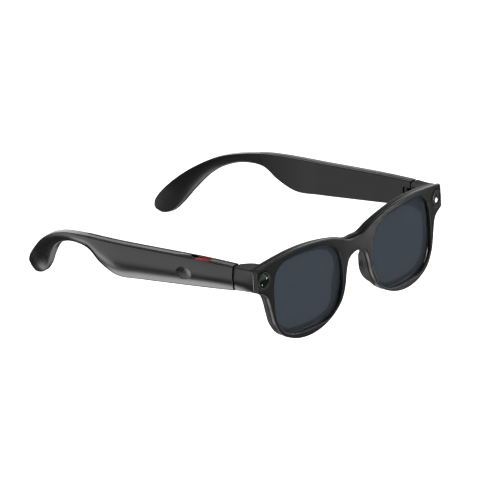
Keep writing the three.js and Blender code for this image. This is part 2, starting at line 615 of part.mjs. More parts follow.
function switchKnob() {
  const end = SLOT_Y + SWITCH_SLOT - FIT;
  const low = SLOT_TOP - SLOT_DEPTH + MARK + FIT;
  const top = SLOT_TOP + 0.3;
  let knob = block(SLOT_X + FIT, SLOT_X + SLOT_WIDTH - FIT, end - SWITCH_KNOB, end, low, top);
  for (let groove = 1; groove < 5; groove += 1) {
    const y = end - SWITCH_KNOB * groove / 5;
    knob = knob.subtract(
      block(SLOT_X - 1, SLOT_X + SLOT_WIDTH + 1, y - 0.2, y + 0.2, top - 0.25, top + 1));
  }
  const middle = end - SWITCH_KNOB / 2;
  const stem = block(SLOT_X + FIT, SLOT_X + SLIT - FIT, middle - 1.5, middle + 1.5, SLOT_TOP - 2,
    low + 0.1);
  return knob.add(stem);
}

const switchBody = () => block(INSIDE, SLOT_X + 2, SLOT_Y + 2, SLOT_Y + SWITCH_SLOT - 1,
  PACK_TOP - 1.2, SLOT_TOP - 2 - GAP);

// Two charging contacts in the right temple's inner cover.
const CONTACT_Y = TEMPLE_START + BLADE - 26;
const CONTACT_GAP = 6;
const CONTACT_RADIUS = 1.3;
const CONTACT_Z = -6.5;
const contact = (i, radius, start, thick) =>
  rod("x", radius, thick, start, CONTACT_Y + i * CONTACT_GAP, CONTACT_Z, 20);
const contactHoles = () => contact(0, CONTACT_RADIUS + FIT, INNER - 1, COVER + 2)
  .add(contact(1, CONTACT_RADIUS + FIT, INNER - 1, COVER + 2));
const chargingContact = (i) => contact(i, CONTACT_RADIUS, INNER, COVER);

// ---- Assembly -------------------------------------------------------------------------------------

const glasses = new THREE.Group();
const front = new THREE.Group();
glasses.add(front);

function put(name, body, material, group) {
  const mesh = new THREE.Mesh(geometryOf(body), material());
  mesh.name = name;
  group.add(mesh);
  return mesh;
}

put("front_plate", frontPlate(), blackPlastic, front);
const rear = put("rear_frame", rearFrame(), blackPlastic, front);
put("camera_bezel", cameraBezel(), barrelBlack, front);
put("camera_window", cameraWindow(), darkGlass, front);
put("camera_barrel", cameraBarrel(), barrelBlack, front);
put("camera_board", eyeBoard(-1, REAR_FRONT + 3), boardGreen, front);
put("light_bezel", lightBezel(), barrelBlack, front);
put("light_window", lightWindow(), whiteWindow, front);
put("sensor_window", sensorWindow(), darkGlass, front);
put("light_board", eyeBoard(1, REAR_FRONT + 0.6), boardGreen, front);
put("front_flex", browRibbon(0.5, REAR_FRONT + 0.1, 0.3, -2), flexAmber, front);
put("microphone", microphone(), meshSteel, front);

let shell;
for (const [label, side] of [["right", -1], ["left", 1]]) {
  const place = (name, body, material, group) =>
    put(`${label}_${name}`, forSide(body, side), material, group);
  place("lens", lensBody(), smokeLens, front);
  place("hinge_front_leaf", frontLeaf(), hingeSteel, front);
  place("hinge_front_screw", frontScrewBody(), hingeSteel, front);
  place("hinge_pin", hingePin(), hingeSteel, front);

  const temple = new THREE.Group();
  glasses.add(temple);
  shell = place("temple_shell", templeShell(side), blackPlastic, temple);
  place("temple_cover", templeCover(side), coverPlastic, temple);
  place("hinge_temple_leaf", templeLeaf(), hingeSteel, temple);
  place("hinge_temple_screw", templeScrewBody(), hingeSteel, temple);
  place("circuit_board", circuitBoard(side), boardGreen, temple);
  place("battery", battery(side), batteryFoil, temple);
  place("speaker", speaker(), speakerBlack, temple);
  place("speaker_mesh", speakerMesh(), meshSteel, temple);
  if (side < 0) {
    place("touch_sensor", touchSensor(), contactGold, temple);
    place("charging_contact_front", chargingContact(0), contactGold, temple);
    place("charging_contact_rear", chargingContact(1), contactGold, temple);
    place("switch_mark", switchMark(), redPlastic, temple);
    place("switch_knob", switchKnob(), blackPlastic, temple);
    place("switch_body", switchBody(), barrelBlack, temple);
  }
}

// ---- Standing on a table --------------------------------------------------------------------------

// The lowest point of a mesh in its parent's frame, when everything is tipped by `angle`.
function lowest(mesh, angle) {
  const place = mesh.geometry.attributes.position;
  let best = null;
  for (let i = 0; i < place.count; i += 1) {
    const y = place.getY(i);
    const z = place.getZ(i);
    const drop = z * Math.cos(angle) - y * Math.sin(angle);
    if (best === null || drop < best.drop) best = { drop, y, z };
  }
  return best;
}

let tilt = 0;
for (let round = 0; round < 4; round += 1) {
  const rim = lowest(rear, tilt);
  const tip = lowest(shell, tilt);
  tilt = Math.atan2(tip.z - rim.z, tip.y - rim.y);
}
glasses.rotation.x = -tilt;

// The origin is under the middle of the glasses, on the table.
const bounds = new THREE.Box3().setFromObject(glasses, true);
glasses.position.set(0, -(bounds.min.y + bounds.max.y) / 2, -bounds.min.z);

export default glasses;
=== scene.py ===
# %% [markdown]
# # Smart glasses
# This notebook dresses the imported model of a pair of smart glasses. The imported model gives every
# size, place and joint; here each piece gets its finished surface. Everything is drawn in
# millimetres in the wearing position, with the brow corner at zero, and only the last step of each
# piece moves it into the model's own frame in metres. That keeps the numbers readable.

# %% Load the frame
import json
import math

import bmesh
import bpy
from mathutils import Matrix, Vector


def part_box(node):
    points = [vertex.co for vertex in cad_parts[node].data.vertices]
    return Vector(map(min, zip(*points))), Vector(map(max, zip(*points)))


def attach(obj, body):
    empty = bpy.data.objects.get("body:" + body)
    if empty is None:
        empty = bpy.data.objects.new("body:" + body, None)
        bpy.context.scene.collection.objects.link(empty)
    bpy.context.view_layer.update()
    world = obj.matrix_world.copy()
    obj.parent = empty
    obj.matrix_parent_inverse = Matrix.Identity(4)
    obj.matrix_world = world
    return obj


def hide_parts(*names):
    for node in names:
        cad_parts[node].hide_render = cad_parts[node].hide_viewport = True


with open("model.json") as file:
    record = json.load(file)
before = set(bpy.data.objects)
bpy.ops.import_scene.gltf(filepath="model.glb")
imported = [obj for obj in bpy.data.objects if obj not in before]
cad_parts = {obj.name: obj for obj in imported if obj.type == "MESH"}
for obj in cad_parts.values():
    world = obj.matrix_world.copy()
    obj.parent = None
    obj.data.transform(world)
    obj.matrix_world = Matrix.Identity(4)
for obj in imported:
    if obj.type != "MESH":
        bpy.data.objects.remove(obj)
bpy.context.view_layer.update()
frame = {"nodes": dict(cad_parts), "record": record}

record = frame["record"]
bpy.context.scene.view_settings.view_transform = "Standard"

# %% [markdown]
# ## From the wearing position to the table
# The glasses stand on their rims and ear tips, so the real frame is tipped by a few degrees. The
# record's hinge axis is upright in the wearing position. Its direction gives the tilt and its
# position gives the shift, so no number has to be copied.

# %% Wearing frame
MM = 0.001
HINGE = Vector((69.29, 17.3, -6.4))                # in the wearing frame, in millimetres
fold = next(j for j in record["behaviour"]["joints"] if j["name"] == "left_temple_fold")
axis = Vector(fold["axis"])
TILT = math.atan2(axis.y, axis.z)
TURN = Matrix.Rotation(-TILT, 4, "X")
TO_ROW = (
    Matrix.Translation(Vector(fold["pos_m"]))
    @ TURN
    @ Matrix.Scale(MM, 4)
    @ Matrix.Translation(-HINGE)
)
print("tilt in degrees:", round(math.degrees(TILT), 3))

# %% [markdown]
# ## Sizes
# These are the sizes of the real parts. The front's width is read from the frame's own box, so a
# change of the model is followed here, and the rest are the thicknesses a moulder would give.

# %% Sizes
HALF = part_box("front_plate")[1][0] / MM
EYE_RADIUS = 4.0
EYE_X = HALF - 4.7
EYE_DROP = 5.6
LENS_WIDTH = 50.0
LENS_HEIGHT = 39.0
LENS_X = 36.9
LENS_MID = 0.6 - LENS_HEIGHT / 2
RIM_WIDTH = 2.9
WRAP = 4.3
PLATE = 1.8
SEAM = 0.25
REAR_FRONT = PLATE + SEAM
REAR_BACK = REAR_FRONT + 3.1
STEP = 0.35
CORNER_HEIGHT = 11.4
CORNER_DEPTH = 13.5
TEMPLE_START = CORNER_DEPTH + 0.45
TEMPLE_TOP = 4.96
INNER = HALF - 0.2 - TEMPLE_TOP
COVER = 1.4
CROWN = 1.4
BLADE = 70.0
EAR = 71.2
print("front width", 2 * HALF, "inner face of the temples at", round(INNER, 2))

# %% [markdown]
# ## Small tools
# A colour on screen is stored with a curve, a shader wants it straight, so one function turns
# every hex value. One function adds a node. One makes an object out of a mesh drawn in
# millimetres, gives it its material, hides the rough node that it stands for, and lets it ride
# on its body.

# %% Colours and nodes
def linear(code, alpha=1.0):
    values = [int(code[i:i + 2], 16) / 255 for i in (1, 3, 5)]
    straight = [v / 12.92 if v <= 0.04045 else ((v + 0.055) / 1.055) ** 2.4 for v in values]
    return (*straight, alpha)


def add(tree, kind, links=None, **settings):
    """Adds one node: settings are its properties or input values, links its incoming wires."""
    node = tree.nodes.new(kind)
    for key, value in settings.items():
        if key in node.inputs.keys():
            node.inputs[key].default_value = value
        else:
            setattr(node, key, value)
    for key, source in (links or {}).items():
        tree.links.new(source, node.inputs[key])
    return node


def shader(name):
    """A new material with its tree, its Principled shader and its output."""
    material = bpy.data.materials.new(name)
    material.use_nodes = True
    tree = material.node_tree
    tree.nodes.clear()
    surface = tree.nodes.new("ShaderNodeBsdfPrincipled")
    out = tree.nodes.new("ShaderNodeOutputMaterial")
    tree.links.new(surface.outputs[0], out.inputs["Surface"])
    return material, tree, surface


# %% [markdown]
# ## Materials
# Most of the glasses are injection-moulded nylon, polished where a hand or an eye goes and left
# with a faint grain. The grain comes from noise on the object's own coordinates, in metres, so
# its size is a real one. A little noise in the roughness breaks up the reflections as on a real
# moulding.

# %% Moulded plastics
def moulded(name, tone, roughness, grain_mm=0.25, grain=0.05, spread=0.06, gloss=0.5):
    material, tree, surface = shader(name)
    place = add(tree, "ShaderNodeTexCoord")
    cloud = add(tree, "ShaderNodeTexNoise", {"Vector": place.outputs["Object"]},
                Scale=1 / (9 * MM), Detail=3.0)
    tones = add(tree, "ShaderNodeValToRGB", {"Fac": cloud.outputs["Fac"]})
    dark, light = tones.color_ramp.elements
    base = linear(tone)
    dark.color = (*[0.8 * v for v in base[:3]], 1)
    light.color = (*[1.2 * v for v in base[:3]], 1)
    rough = add(tree, "ShaderNodeMapRange", {"Value": cloud.outputs["Fac"]})
    rough.inputs["To Min"].default_value = roughness - spread / 2
    rough.inputs["To Max"].default_value = roughness + spread / 2
    fine = add(tree, "ShaderNodeTexNoise", {"Vector": place.outputs["Object"]},
               Scale=1 / (grain_mm * MM), Detail=2.0)
    bump = add(tree, "ShaderNodeBump", {"Height": fine.outputs["Fac"]},
               Strength=grain, Distance=0.05 * MM)
    tree.links.new(tones.outputs["Color"], surface.inputs["Base Color"])
    tree.links.new(rough.outputs["Result"], surface.inputs["Roughness"])
    tree.links.new(bump.outputs["Normal"], surface.inputs["Normal"])
    surface.inputs["IOR"].default_value = 1.53
    surface.inputs["Specular IOR Level"].default_value = gloss
    return material


# Polished black nylon of the temples: deep black with a soft sheen that spreads every highlight.
black_nylon = moulded("polished_black_nylon", "#0b0b0c", 0.21, grain=0.012, spread=0.03)
# The front comes from a mould with a fine matt etching, so it mirrors only half as much.
front_nylon = moulded("etched_black_nylon", "#0a0a0b", 0.3, gloss=0.3)
# Rear frame and nose pads: a matt soft-touch coat, which swallows nearly all reflections.
soft_touch = moulded("soft_touch_black", "#0c0c0c", 0.45, gloss=0.15)
# The inner cover is the same nylon from a mould with a finer, duller grain.
cover_nylon = moulded("satin_black_nylon", "#0b0b0c", 0.3, grain=0.05, gloss=0.36)
# Camera ring: black acetal, dull, so that it doesn't glare into the camera.
black_acetal = moulded("dull_black_acetal", "#0e0e0f", 0.3, grain=0.08)
# Red ABS of the switch mark: an even, slightly waxy red.
red_abs = moulded("red_abs", "#7d1c19", 0.45, gloss=0.3)

# %% [markdown]
# ## Smooth outlines
# The outlines of the frame are drawn through a few points each. A centripetal Catmull-Rom curve
# goes through all of them without loops or overshoot, which is what a designer's spline does.

# %% Splines
def spline(points, steps, closed=False):
    """Points on a centripetal Catmull-Rom curve, `steps` of them for each stretch."""
    points = [Vector(p) for p in points]
    count = len(points)
    spans = count if closed else count - 1
    return [spline_at(points, (i / steps) / spans, closed)
            for i in range(spans * steps + (0 if closed else 1))]


def spline_at(points, t, closed=False):
    count = len(points)
    spans = count if closed else count - 1
    place = min(max(t, 0.0), 1.0) * spans
    k = int(place)
    if not closed and k >= spans:
        k = spans - 1
    w = place - k
    p1 = points[k % count]
    p2 = points[(k + 1) % count]
    p0 = points[(k - 1) % count] if closed or k > 0 else 2 * p1 - p2
    p3 = points[(k + 2) % count] if closed or k + 2 < count else 2 * p2 - p1
    gaps = [max((b - a).length ** 0.5, 1e-4) for a, b in ((p0, p1), (p1, p2), (p2, p3))]
    g0, g1, g2 = gaps
    m1 = ((p1 - p0) / g0 - (p2 - p0) / (g0 + g1) + (p2 - p1) / g1) * g1
    m2 = ((p2 - p1) / g1 - (p3 - p1) / (g1 + g2) + (p3 - p2) / g2) * g1
    a = 2 * (p1 - p2) + m1 + m2
    b = 3 * (p2 - p1) - 2 * m1 - m2
    return ((a * w + b) * w + m1) * w + p1


# %% Outlines of the front
BROW = [(0.07, -3.7), (0.165, -1.1), (0.275, 1.2), (0.44, 2.9), (0.63, 3.4), (0.82, 2.3)]
RIM = [(1.072, 0.208), (1.011, 0.032), (0.964, -0.207), (0.896, -0.484), (0.731, -0.76),
       (0.483, -0.921), (0.221, -0.994), (-0.041, -0.998), (-0.328, -0.93), (-0.616, -0.773),
       (-0.833, -0.552), (-0.948, -0.262), (-1.009, 0.051), (-1.1, 0.281)]
LENS_CURVE = [(1, 0.12), (0.99, 0.4), (0.92, 0.72), (0.72, 0.93), (0.42, 1), (0.08, 0.995),
              (-0.26, 0.965), (-0.56, 0.89), (-0.81, 0.75), (-0.95, 0.5), (-1, 0.16),
              (-0.98, -0.18), (-0.9, -0.5), (-0.76, -0.76), (-0.55, -0.92), (-0.28, -0.99),
              (0.02, -1), (0.34, -0.985), (0.64, -0.9), (0.86, -0.68), (0.97, -0.36)]
BRIDGE_TOP = -4.0
BRIDGE_UNDER = -10.6
BRIDGE_RISE = 1.2


def rim_point(u, v):
    return (LENS_X + u * (LENS_WIDTH / 2 + RIM_WIDTH), LENS_MID + v * (LENS_HEIGHT / 2 + RIM_WIDTH))


def flip(points):
    return [(-x, z) for x, z in reversed(points)]


def front_outline(rise=0.0):
    """The whole front, anticlockwise, as points in X and Z."""
    brow = [(s * HALF, z + rise * max(0, 1 - s / BROW[2][0])) for s, z in BROW]
    left_top = [(HALF - 0.8, 0.55)] + brow[::-1]
    left_rim = [rim_point(*p) for p in RIM[::-1]]
    left_rim += [(HALF - 3, -CORNER_HEIGHT - 0.7), (HALF - 1, -CORNER_HEIGHT)]
    side = [(HALF, 0.9 - CORNER_HEIGHT), (HALF, -0.5)]
    top = spline(left_top + [(0, BRIDGE_TOP + rise)] + flip(left_top), 8)
    under = spline(flip(left_rim) + [(0, BRIDGE_UNDER)] + left_rim, 6)
    return [(p.x, p.y) for p in top] + flip(side) + [(p.x, p.y) for p in under] + side


def lens_outline(side, grow=0.0):
    points = [(LENS_X + u * (LENS_WIDTH / 2 + grow), LENS_MID + v * (LENS_HEIGHT / 2 + grow))
              for u, v in LENS_CURVE]
    loop = [(p.x, p.y) for p in spline(points, 5, closed=True)]
    return loop if side > 0 else flip(loop)


def circle(x, z, radius, count=64):
    return [(x + radius * math.cos(a), z + radius * math.sin(a))
            for a in (2 * math.pi * i / count for i in range(count))]


# %% [markdown]
# ## Slabs with rounded edges
# A filled 2D curve with a bevel is the quickest way to a plate with holes and evenly rounded
# edges: the bevel runs along every outline at once. The flat plate is then cut into narrow
# strips and bent, because the front of the glasses wraps round the face.

# %% Slab and object makers
STRIP = 2.4


def wrap_at(x):
    return WRAP * ((x / HALF) ** 2 - 1)


def slab(loops, thick, fillet, inset=0.0):
    """A flat plate through the loops, in X and Z, from y = 0 to y = thick, as a bmesh."""
    curve = bpy.data.curves.new("slab", "CURVE")
    curve.dimensions = "2D"
    curve.fill_mode = "BOTH"
    curve.extrude = thick / 2 - fillet
    curve.bevel_depth = fillet
    curve.bevel_resolution = 3
    curve.offset = -fillet - inset
    for loop in loops:
        line = curve.splines.new("POLY")
        line.points.add(len(loop) - 1)
        for point, (x, z) in zip(line.points, loop):
            point.co = (x, z, 0, 1)
        line.use_cyclic_u = True
    holder = bpy.data.objects.new("slab", curve)
    bpy.context.collection.objects.link(holder)
    depsgraph = bpy.context.evaluated_depsgraph_get()
    mesh = bpy.data.meshes.new_from_object(holder.evaluated_get(depsgraph))
    bpy.data.objects.remove(holder)
    bpy.data.curves.remove(curve)
    body = bmesh.new()
    body.from_mesh(mesh)
    bpy.data.meshes.remove(mesh)
    bmesh.ops.remove_doubles(body, verts=body.verts, dist=1e-3)
    for vertex in body.verts:
        x, z, depth = vertex.co
        vertex.co = (x, thick / 2 - depth, z)
    bmesh.ops.recalc_face_normals(body, faces=body.faces)
    return body


def bend(body, start=0.0):
    """Cuts a flat body into strips and wraps it like the front, starting at the depth `start`."""
    reach = max(abs(v.co.x) for v in body.verts)
    low = min(v.co.x for v in body.verts)
    cuts = int((reach - low) / STRIP) + 1
    for k in range(cuts):
        x = low + (k + 0.5) * STRIP
        everything = body.verts[:] + body.edges[:] + body.faces[:]
        bmesh.ops.bisect_plane(body, geom=everything, plane_co=(x, 0, 0), plane_no=(1, 0, 0))
    for vertex in body.verts:
        vertex.co.y += start + wrap_at(vertex.co.x)
    return body


made = {}


def paint_faces(piece, material, chosen):
    """Gives a second finish to the faces for which `chosen(centre, normal)` is true."""
    piece.data.materials.append(material)
    index = len(piece.data.materials) - 1
    back_to_wear = TO_ROW.inverted()
    count = 0
    for face in piece.data.polygons:
        if chosen(back_to_wear @ face.center, face.normal):
            face.material_index = index
            count += 1
    return count


def finish_piece(name, body, material, rides, stands_for, sharp=40):
    """Turns a bmesh in millimetres into a finished piece in the model's frame."""
    mesh = bpy.data.meshes.new(name)
    body.transform(TO_ROW)
    body.to_mesh(mesh)
    body.free()
    mesh.shade_smooth()
    mesh.set_sharp_from_angle(angle=math.radians(sharp))
    mesh.materials.append(material)
    piece = bpy.data.objects.new(name, mesh)
    bpy.context.collection.objects.link(piece)
    if stands_for:
        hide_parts(*stands_for)
    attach(piece, rides)
    made[name] = len(mesh.polygons)
    return piece


def calm(piece):
    """Weights the shading by face size."""
    weighted = piece.modifiers.new("calm shading", "WEIGHTED_NORMAL")
    weighted.keep_sharp = True
    return piece


# %% [markdown]
# ## Front plate
# The front plate is one moulding that runs from corner to corner. It has two lens openings, a
# round hole for the camera and one for the light. Every edge is rounded by 0.38 mm,
# and that rounding is what catches the bright line along the brow.

# %% Front plate
plate = slab(
    [front_outline(), lens_outline(1), lens_outline(-1),
     circle(EYE_X, -EYE_DROP, EYE_RADIUS + 0.15), circle(-EYE_X, -EYE_DROP, EYE_RADIUS + 0.15)],
    PLATE, 0.38)
calm(finish_piece("front_plate_shell", bend(plate), front_nylon, "front", ["front_plate"]))
print("front plate faces", made["front_plate_shell"])

# %% [markdown]
# ## Lofts and cuts
# A loft is a skin over a row of closed sections, closed at both ends. Its corners are rounded in
# the section itself, with a short curve that leaves both sides smoothly. Holes and slots are cut
# afterwards with exact booleans, as a mill would cut them, and the shading is then weighted by
# face size so that the large faces stay calm beside a cut.

# %% Loft and boolean helpers
def loft(rings):
    """A closed body over rings of equal length. Faces point outwards after the recalculation."""
    body = bmesh.new()
    rows = [[body.verts.new(p) for p in ring] for ring in rings]
    sides = len(rows[0])
    for one, two in zip(rows, rows[1:]):
        for j in range(sides):
            k = (j + 1) % sides
            body.faces.new((one[j], one[k], two[k], two[j]))
    for row in (rows[0], rows[-1]):
        body.faces.new(row)
    bmesh.ops.recalc_face_normals(body, faces=body.faces)
    return body


def round_corner(before, corner, after, radius, steps=5):
    """Points of a smooth corner: it leaves both sides `radius` away from where they meet."""
    start = corner + (before - corner).normalized() * radius
    end = corner + (after - corner).normalized() * radius
    points = []
    for i in range(steps + 1):
        w = i / steps
        points.append(start * (1 - w) ** 2 + corner * 2 * w * (1 - w) + end * w ** 2)
    return points


def rounded(corners):
    """A closed outline through (x, y, radius) corners; a radius of 0 keeps the point."""
    outline = []
    spots = [Vector((x, y)) for x, y, radius in corners]
    for k, (x, y, radius) in enumerate(corners):
        if radius == 0:
            outline.append(spots[k])
        else:
            after = spots[(k + 1) % len(spots)]
            outline += round_corner(spots[k - 1], spots[k], after, radius)
    return outline


def box(x0, x1, y0, y1, z0, z1):
    body = bmesh.new()
    bmesh.ops.create_cube(body, size=1)
    size = Matrix.Diagonal((x1 - x0, y1 - y0, z1 - z0, 1))
    middle = Matrix.Translation(((x0 + x1) / 2, (y0 + y1) / 2, (z0 + z1) / 2))
    body.transform(middle @ size)
    return body


def mirrored(body):
    body.transform(Matrix.Scale(-1, 4, (1, 0, 0)))
    bmesh.ops.reverse_faces(body, faces=body.faces)
    return body


def for_side(body, side):
    return body if side > 0 else mirrored(body)


def combine(body, tool, kind):
    """UNION, DIFFERENCE or INTERSECT of two bodies; both are used up."""
    holders = []
    for part in (body, tool):
        mesh = bpy.data.meshes.new("part")
        part.to_mesh(mesh)
        part.free()
        holder = bpy.data.objects.new("part", mesh)
        bpy.context.collection.objects.link(holder)
        holders.append(holder)
    cut = holders[0].modifiers.new("cut", "BOOLEAN")
    cut.solver = "EXACT"
    cut.operation = kind
    cut.object = holders[1]
    depsgraph = bpy.context.evaluated_depsgraph_get()
    mesh = bpy.data.meshes.new_from_object(holders[0].evaluated_get(depsgraph))
    result = bmesh.new()
    result.from_mesh(mesh)
    bmesh.ops.remove_doubles(result, verts=result.verts, dist=1e-4)
    for holder in holders:
        old = holder.data
        bpy.data.objects.remove(holder)
        bpy.data.meshes.remove(old)
    bpy.data.meshes.remove(mesh)
    return result



# %% [markdown]
# ## Rear frame
# The rear frame is the second moulding behind the front plate. It carries the lens seats, the two
# end pieces for the camera and the light, and the nose pads. Rims, end pieces and pads are made as
# simple bodies and joined, and then the seats and pockets are cut out.

# %% End pieces
END_INNER = [(1.6, 60.6), (5.2, 61.6), (8.2, 62.2), (10.6, 63.6), (12.4, 65.7), (13.5, 67.4)]
END_SLICES = 18
REAR_START = REAR_FRONT + 0.3                      # the seam behind the plate looks this much wider
TEMPLE_GIRTH = 0.7                                 # share of the crown at the temple's front end


PEAK = -0.12                                       # height of the fullest line of the crown


def crown_share(v):
    """The bulge of the outer face at the height v, from -1 to 1: fullest below the middle."""
    reach = 1 - PEAK if v > PEAK else 1 + PEAK
    return 1 - ((v - PEAK) / reach) ** 2


def end_piece():
    inner = spline([Vector(p) for p in END_INNER], 6)
    rings = []
    for i in range(END_SLICES + 1):
        y = REAR_START + (CORNER_DEPTH - REAR_START) * i / END_SLICES
        x_in = next(p.y for p in inner if p.x >= y - 1e-6)
        share = i / END_SLICES
        edge = HALF - STEP + (STEP - 0.2) * share
        bulge = 0.15 + (CROWN * TEMPLE_GIRTH - 0.15) * share ** 0.8
        low = 0.35 - CORNER_HEIGHT - 0.3 * share
        high = -0.2 + 0.7 * share ** 1.5
        middle = (low + high) / 2
        half = (high - low) / 2
        ease = 0.25 if i in (0, END_SLICES) else 0
        corners = [(x_in + ease, low + ease, 1.0), (edge - ease, low + ease, 0.55)]
        for k in range(-6, 7):
            v = 0.82 * k / 6
            corners.append((edge + bulge * crown_share(v) - ease, middle + v * half, 0))
        corners += [(edge - ease, high - ease, 0.55), (x_in + ease, high - ease, 1.2)]
        rings.append([(p.x, y, p.y) for p in rounded(corners)])
        if i in (0, END_SLICES):
            step = 0.25 if i == 0 else -0.25
            full = [(x, z, r) for x, z, r in corners]
            grown = [(x - ease if x == corners[0][0] else x + ease, z + (ease if z > middle else -ease), r)
                     for x, z, r in full]
            spare = [(p.x, y + step, p.y) for p in rounded(grown)]
            rings.insert(len(rings) if i == 0 else len(rings) - 1, spare)
    return loft(rings)


# %% Nose pads
PAD_OUTER = [(-1.03, 0.27), (-1.003, 0.12), (-0.951, -0.02), (-0.925, -0.2), (-0.885, -0.37),
             (-0.815, -0.52), (-0.72, -0.66)]
PAD_INNER = [(-0.93, 0.27), (-0.885, 0.13), (-0.84, -0.02), (-0.82, -0.17), (-0.785, -0.33),
             (-0.725, -0.47), (-0.65, -0.58)]
NOSE_PAD = 3.0
PAD_FLARE = 0.9
PAD_SECTIONS = 36


def nose_pad():
    """A wing on the nose side of the left rim: it rises from the rim and falls back into it."""
    outer = [rim_point(*p) for p in PAD_OUTER]
    inner = [rim_point(*p) for p in PAD_INNER]
    rings = []
    for i in range(PAD_SECTIONS + 1):
        s = i / PAD_SECTIONS
        a = spline_at([Vector(p) for p in outer], s)
        b = spline_at([Vector(p) for p in inner], s)
        across = (a - b).normalized()
        rise = math.sin(math.pi * s) ** 0.55
        root = -1.4
        tip = root + 0.2 + (NOSE_PAD - root - 0.2) * rise
        flare = PAD_FLARE * rise
        width = (a - b).length * (0.35 + 0.65 * rise)
        start = a - across * ((a - b).length - width) * 0.5
        corners = [(0, root, 0.3), (0.3 * flare, root + 0.5 * (tip - root), 0),
                   (flare, tip, 0.45 * rise + 0.05), (flare - width * 0.8, tip, 0.5 * rise + 0.05),
                   (-width, root + 0.4 * (tip - root), 0), (-width, root, 0.3)]
        ring = []
        for p in rounded(corners):
            spot = start + across * p.x
            y = REAR_BACK + p.y + wrap_at(spot.x)
            ring.append((spot.x, y, spot.y))
        rings.append(ring)
    return loft(rings)


# %% Join and cut the rear frame
POCKET_BACK = CORNER_DEPTH - 3.3
LEDGE = 1.9                                        # the ledge that the lens rests on, seen through it
REAR_LOOPS = [front_outline(BRIDGE_RISE), lens_outline(1, -LEDGE), lens_outline(-1, -LEDGE)]
rims = slab(REAR_LOOPS, REAR_BACK - REAR_START, 0.5)
lip = slab(REAR_LOOPS, 0.8, 0.02, inset=0.4)        # closes the bottom of the seam
for body in (rims, lip):
    for vertex in body.verts:
        vertex.co.x *= (HALF - STEP) / HALF
        vertex.co.z -= STEP * max(-1, min(1, (vertex.co.z + 14) / 12))
rear = combine(bend(rims, REAR_START), bend(lip, REAR_FRONT), "UNION")
for side in (1, -1):
    rear = combine(rear, for_side(end_piece(), side), "UNION")
    rear = combine(rear, for_side(nose_pad(), side), "UNION")
for side in (1, -1):
    seat = bend(slab([lens_outline(side, 1.1)], 4.0, 0.02), REAR_FRONT + 1.95 - 4.0)
    rear = combine(rear, seat, "DIFFERENCE")
    pocket = box(EYE_X - 3.7, HALF - 1.45, -3, POCKET_BACK, 1.4 - CORNER_HEIGHT, -1.3)
    rear = combine(rear, for_side(pocket, side), "DIFFERENCE")
    slot = box(HINGE.x - 0.9, HINGE.x + 0.9, POCKET_BACK - 1, CORNER_DEPTH + 3,
               HINGE.z - 1.56, HINGE.z + 1.56)
    rear = combine(rear, for_side(slot, side), "DIFFERENCE")
slit = box(-0.25, 0.25, -1.8, 1.8, -2.2, 2)
slit.transform(Matrix.Translation((EYE_X + 0.6, CORNER_DEPTH - 3.4, 0)) @ Matrix.Rotation(math.radians(22), 4, "Z"))
rear = combine(rear, slit, "DIFFERENCE")
rear_piece = calm(finish_piece("rear_frame_moulding", rear, soft_touch, "front",
                               ["rear_frame"]))
paint_faces(rear_piece, black_nylon,
            lambda spot, normal: abs(spot.x) > HALF - 2.5 and abs(normal.x) > 0.6)
print("rear frame faces", made["rear_frame_moulding"])

# %% [markdown]
# ## Lenses
# Real tinted lenses are dyed polycarbonate, 1.8 mm thick and bent with the front. Light passes
# both faces, so the shader's colour is the square root of what the lens lets through.

# %% Lenses
LENS_DEEP = "#3a4148"
LENS_PALE = "#3d444c"


def tinted_lens_material():
    """Dyed polycarbonate: you see through it darkly, with a clean hard reflection on top."""
    material, tree, surface = shader("dyed_polycarbonate")
    place = add(tree, "ShaderNodeTexCoord")
    cloud = add(tree, "ShaderNodeTexNoise", {"Vector": place.outputs["Object"]}, Scale=40.0)
    tones = add(tree, "ShaderNodeValToRGB", {"Fac": cloud.outputs["Fac"]})
    dark, light = tones.color_ramp.elements
    dark.color = linear(LENS_DEEP)
    light.color = linear(LENS_PALE)
    tree.links.new(tones.outputs["Color"], surface.inputs["Base Color"])
    surface.inputs["Roughness"].default_value = 0.0
    surface.inputs["IOR"].default_value = 1.58
    surface.inputs["Transmission Weight"].default_value = 0.5
    return material


tinted = tinted_lens_material()
for label, side in (("right", -1), ("left", 1)):
    lens = slab([lens_outline(side, 0.8)], 1.8, 0.3)
    finish_piece(f"{label}_tinted_lens", bend(lens, REAR_FRONT + 0.05), tinted, "front",
                 [f"{label}_lens"])

# %% [markdown]
# ## Temples
# Each temple follows two lines, the top and the bottom edge of its flat inner face. Sections stand
# between matching points of the two lines. The outer face is crowned, so that it catches a band
# of light, and the ear end curls down and inwards. The blade is split along its length: the shell
# outside, the thin cover inside, with a fine dark seam between them.

# %% Temple lines
TOP_EDGE = [(0, 0, 0.6), (0, 0.26, 1.2), (0, 0.54, 1.3), (0, 0.79, 1.3), (0, 1, 1.4),
            (0.5, 1.149, 1.5), (1.5, 1.282, 1.4), (3.4, 1.414, 0.5), (6, 1.541, -1.1),
            (9.3, 1.66, -4.2), (13.3, 1.782, -9.1), (17, 1.888, -15), (19.2, 1.966, -20.7),
            (20.2, 1.998, -24.5), (20.5, 2, -26.7)]
BOTTOM_EDGE = [(0, 0, -11.7), (0, 0.26, -12.9), (0, 0.54, -14), (0, 0.79, -14.9), (0, 1, -15.2),
               (0.5, 1.141, -10.8), (1.5, 1.251, -4.9), (3.4, 1.394, -3.8), (6, 1.512, -5.7),
               (9.3, 1.616, -9.9), (13.3, 1.71, -17), (17, 1.786, -23.9), (19.2, 1.86, -28.8),
               (20.2, 1.935, -30.1), (20.5, 1.98, -28.9)]
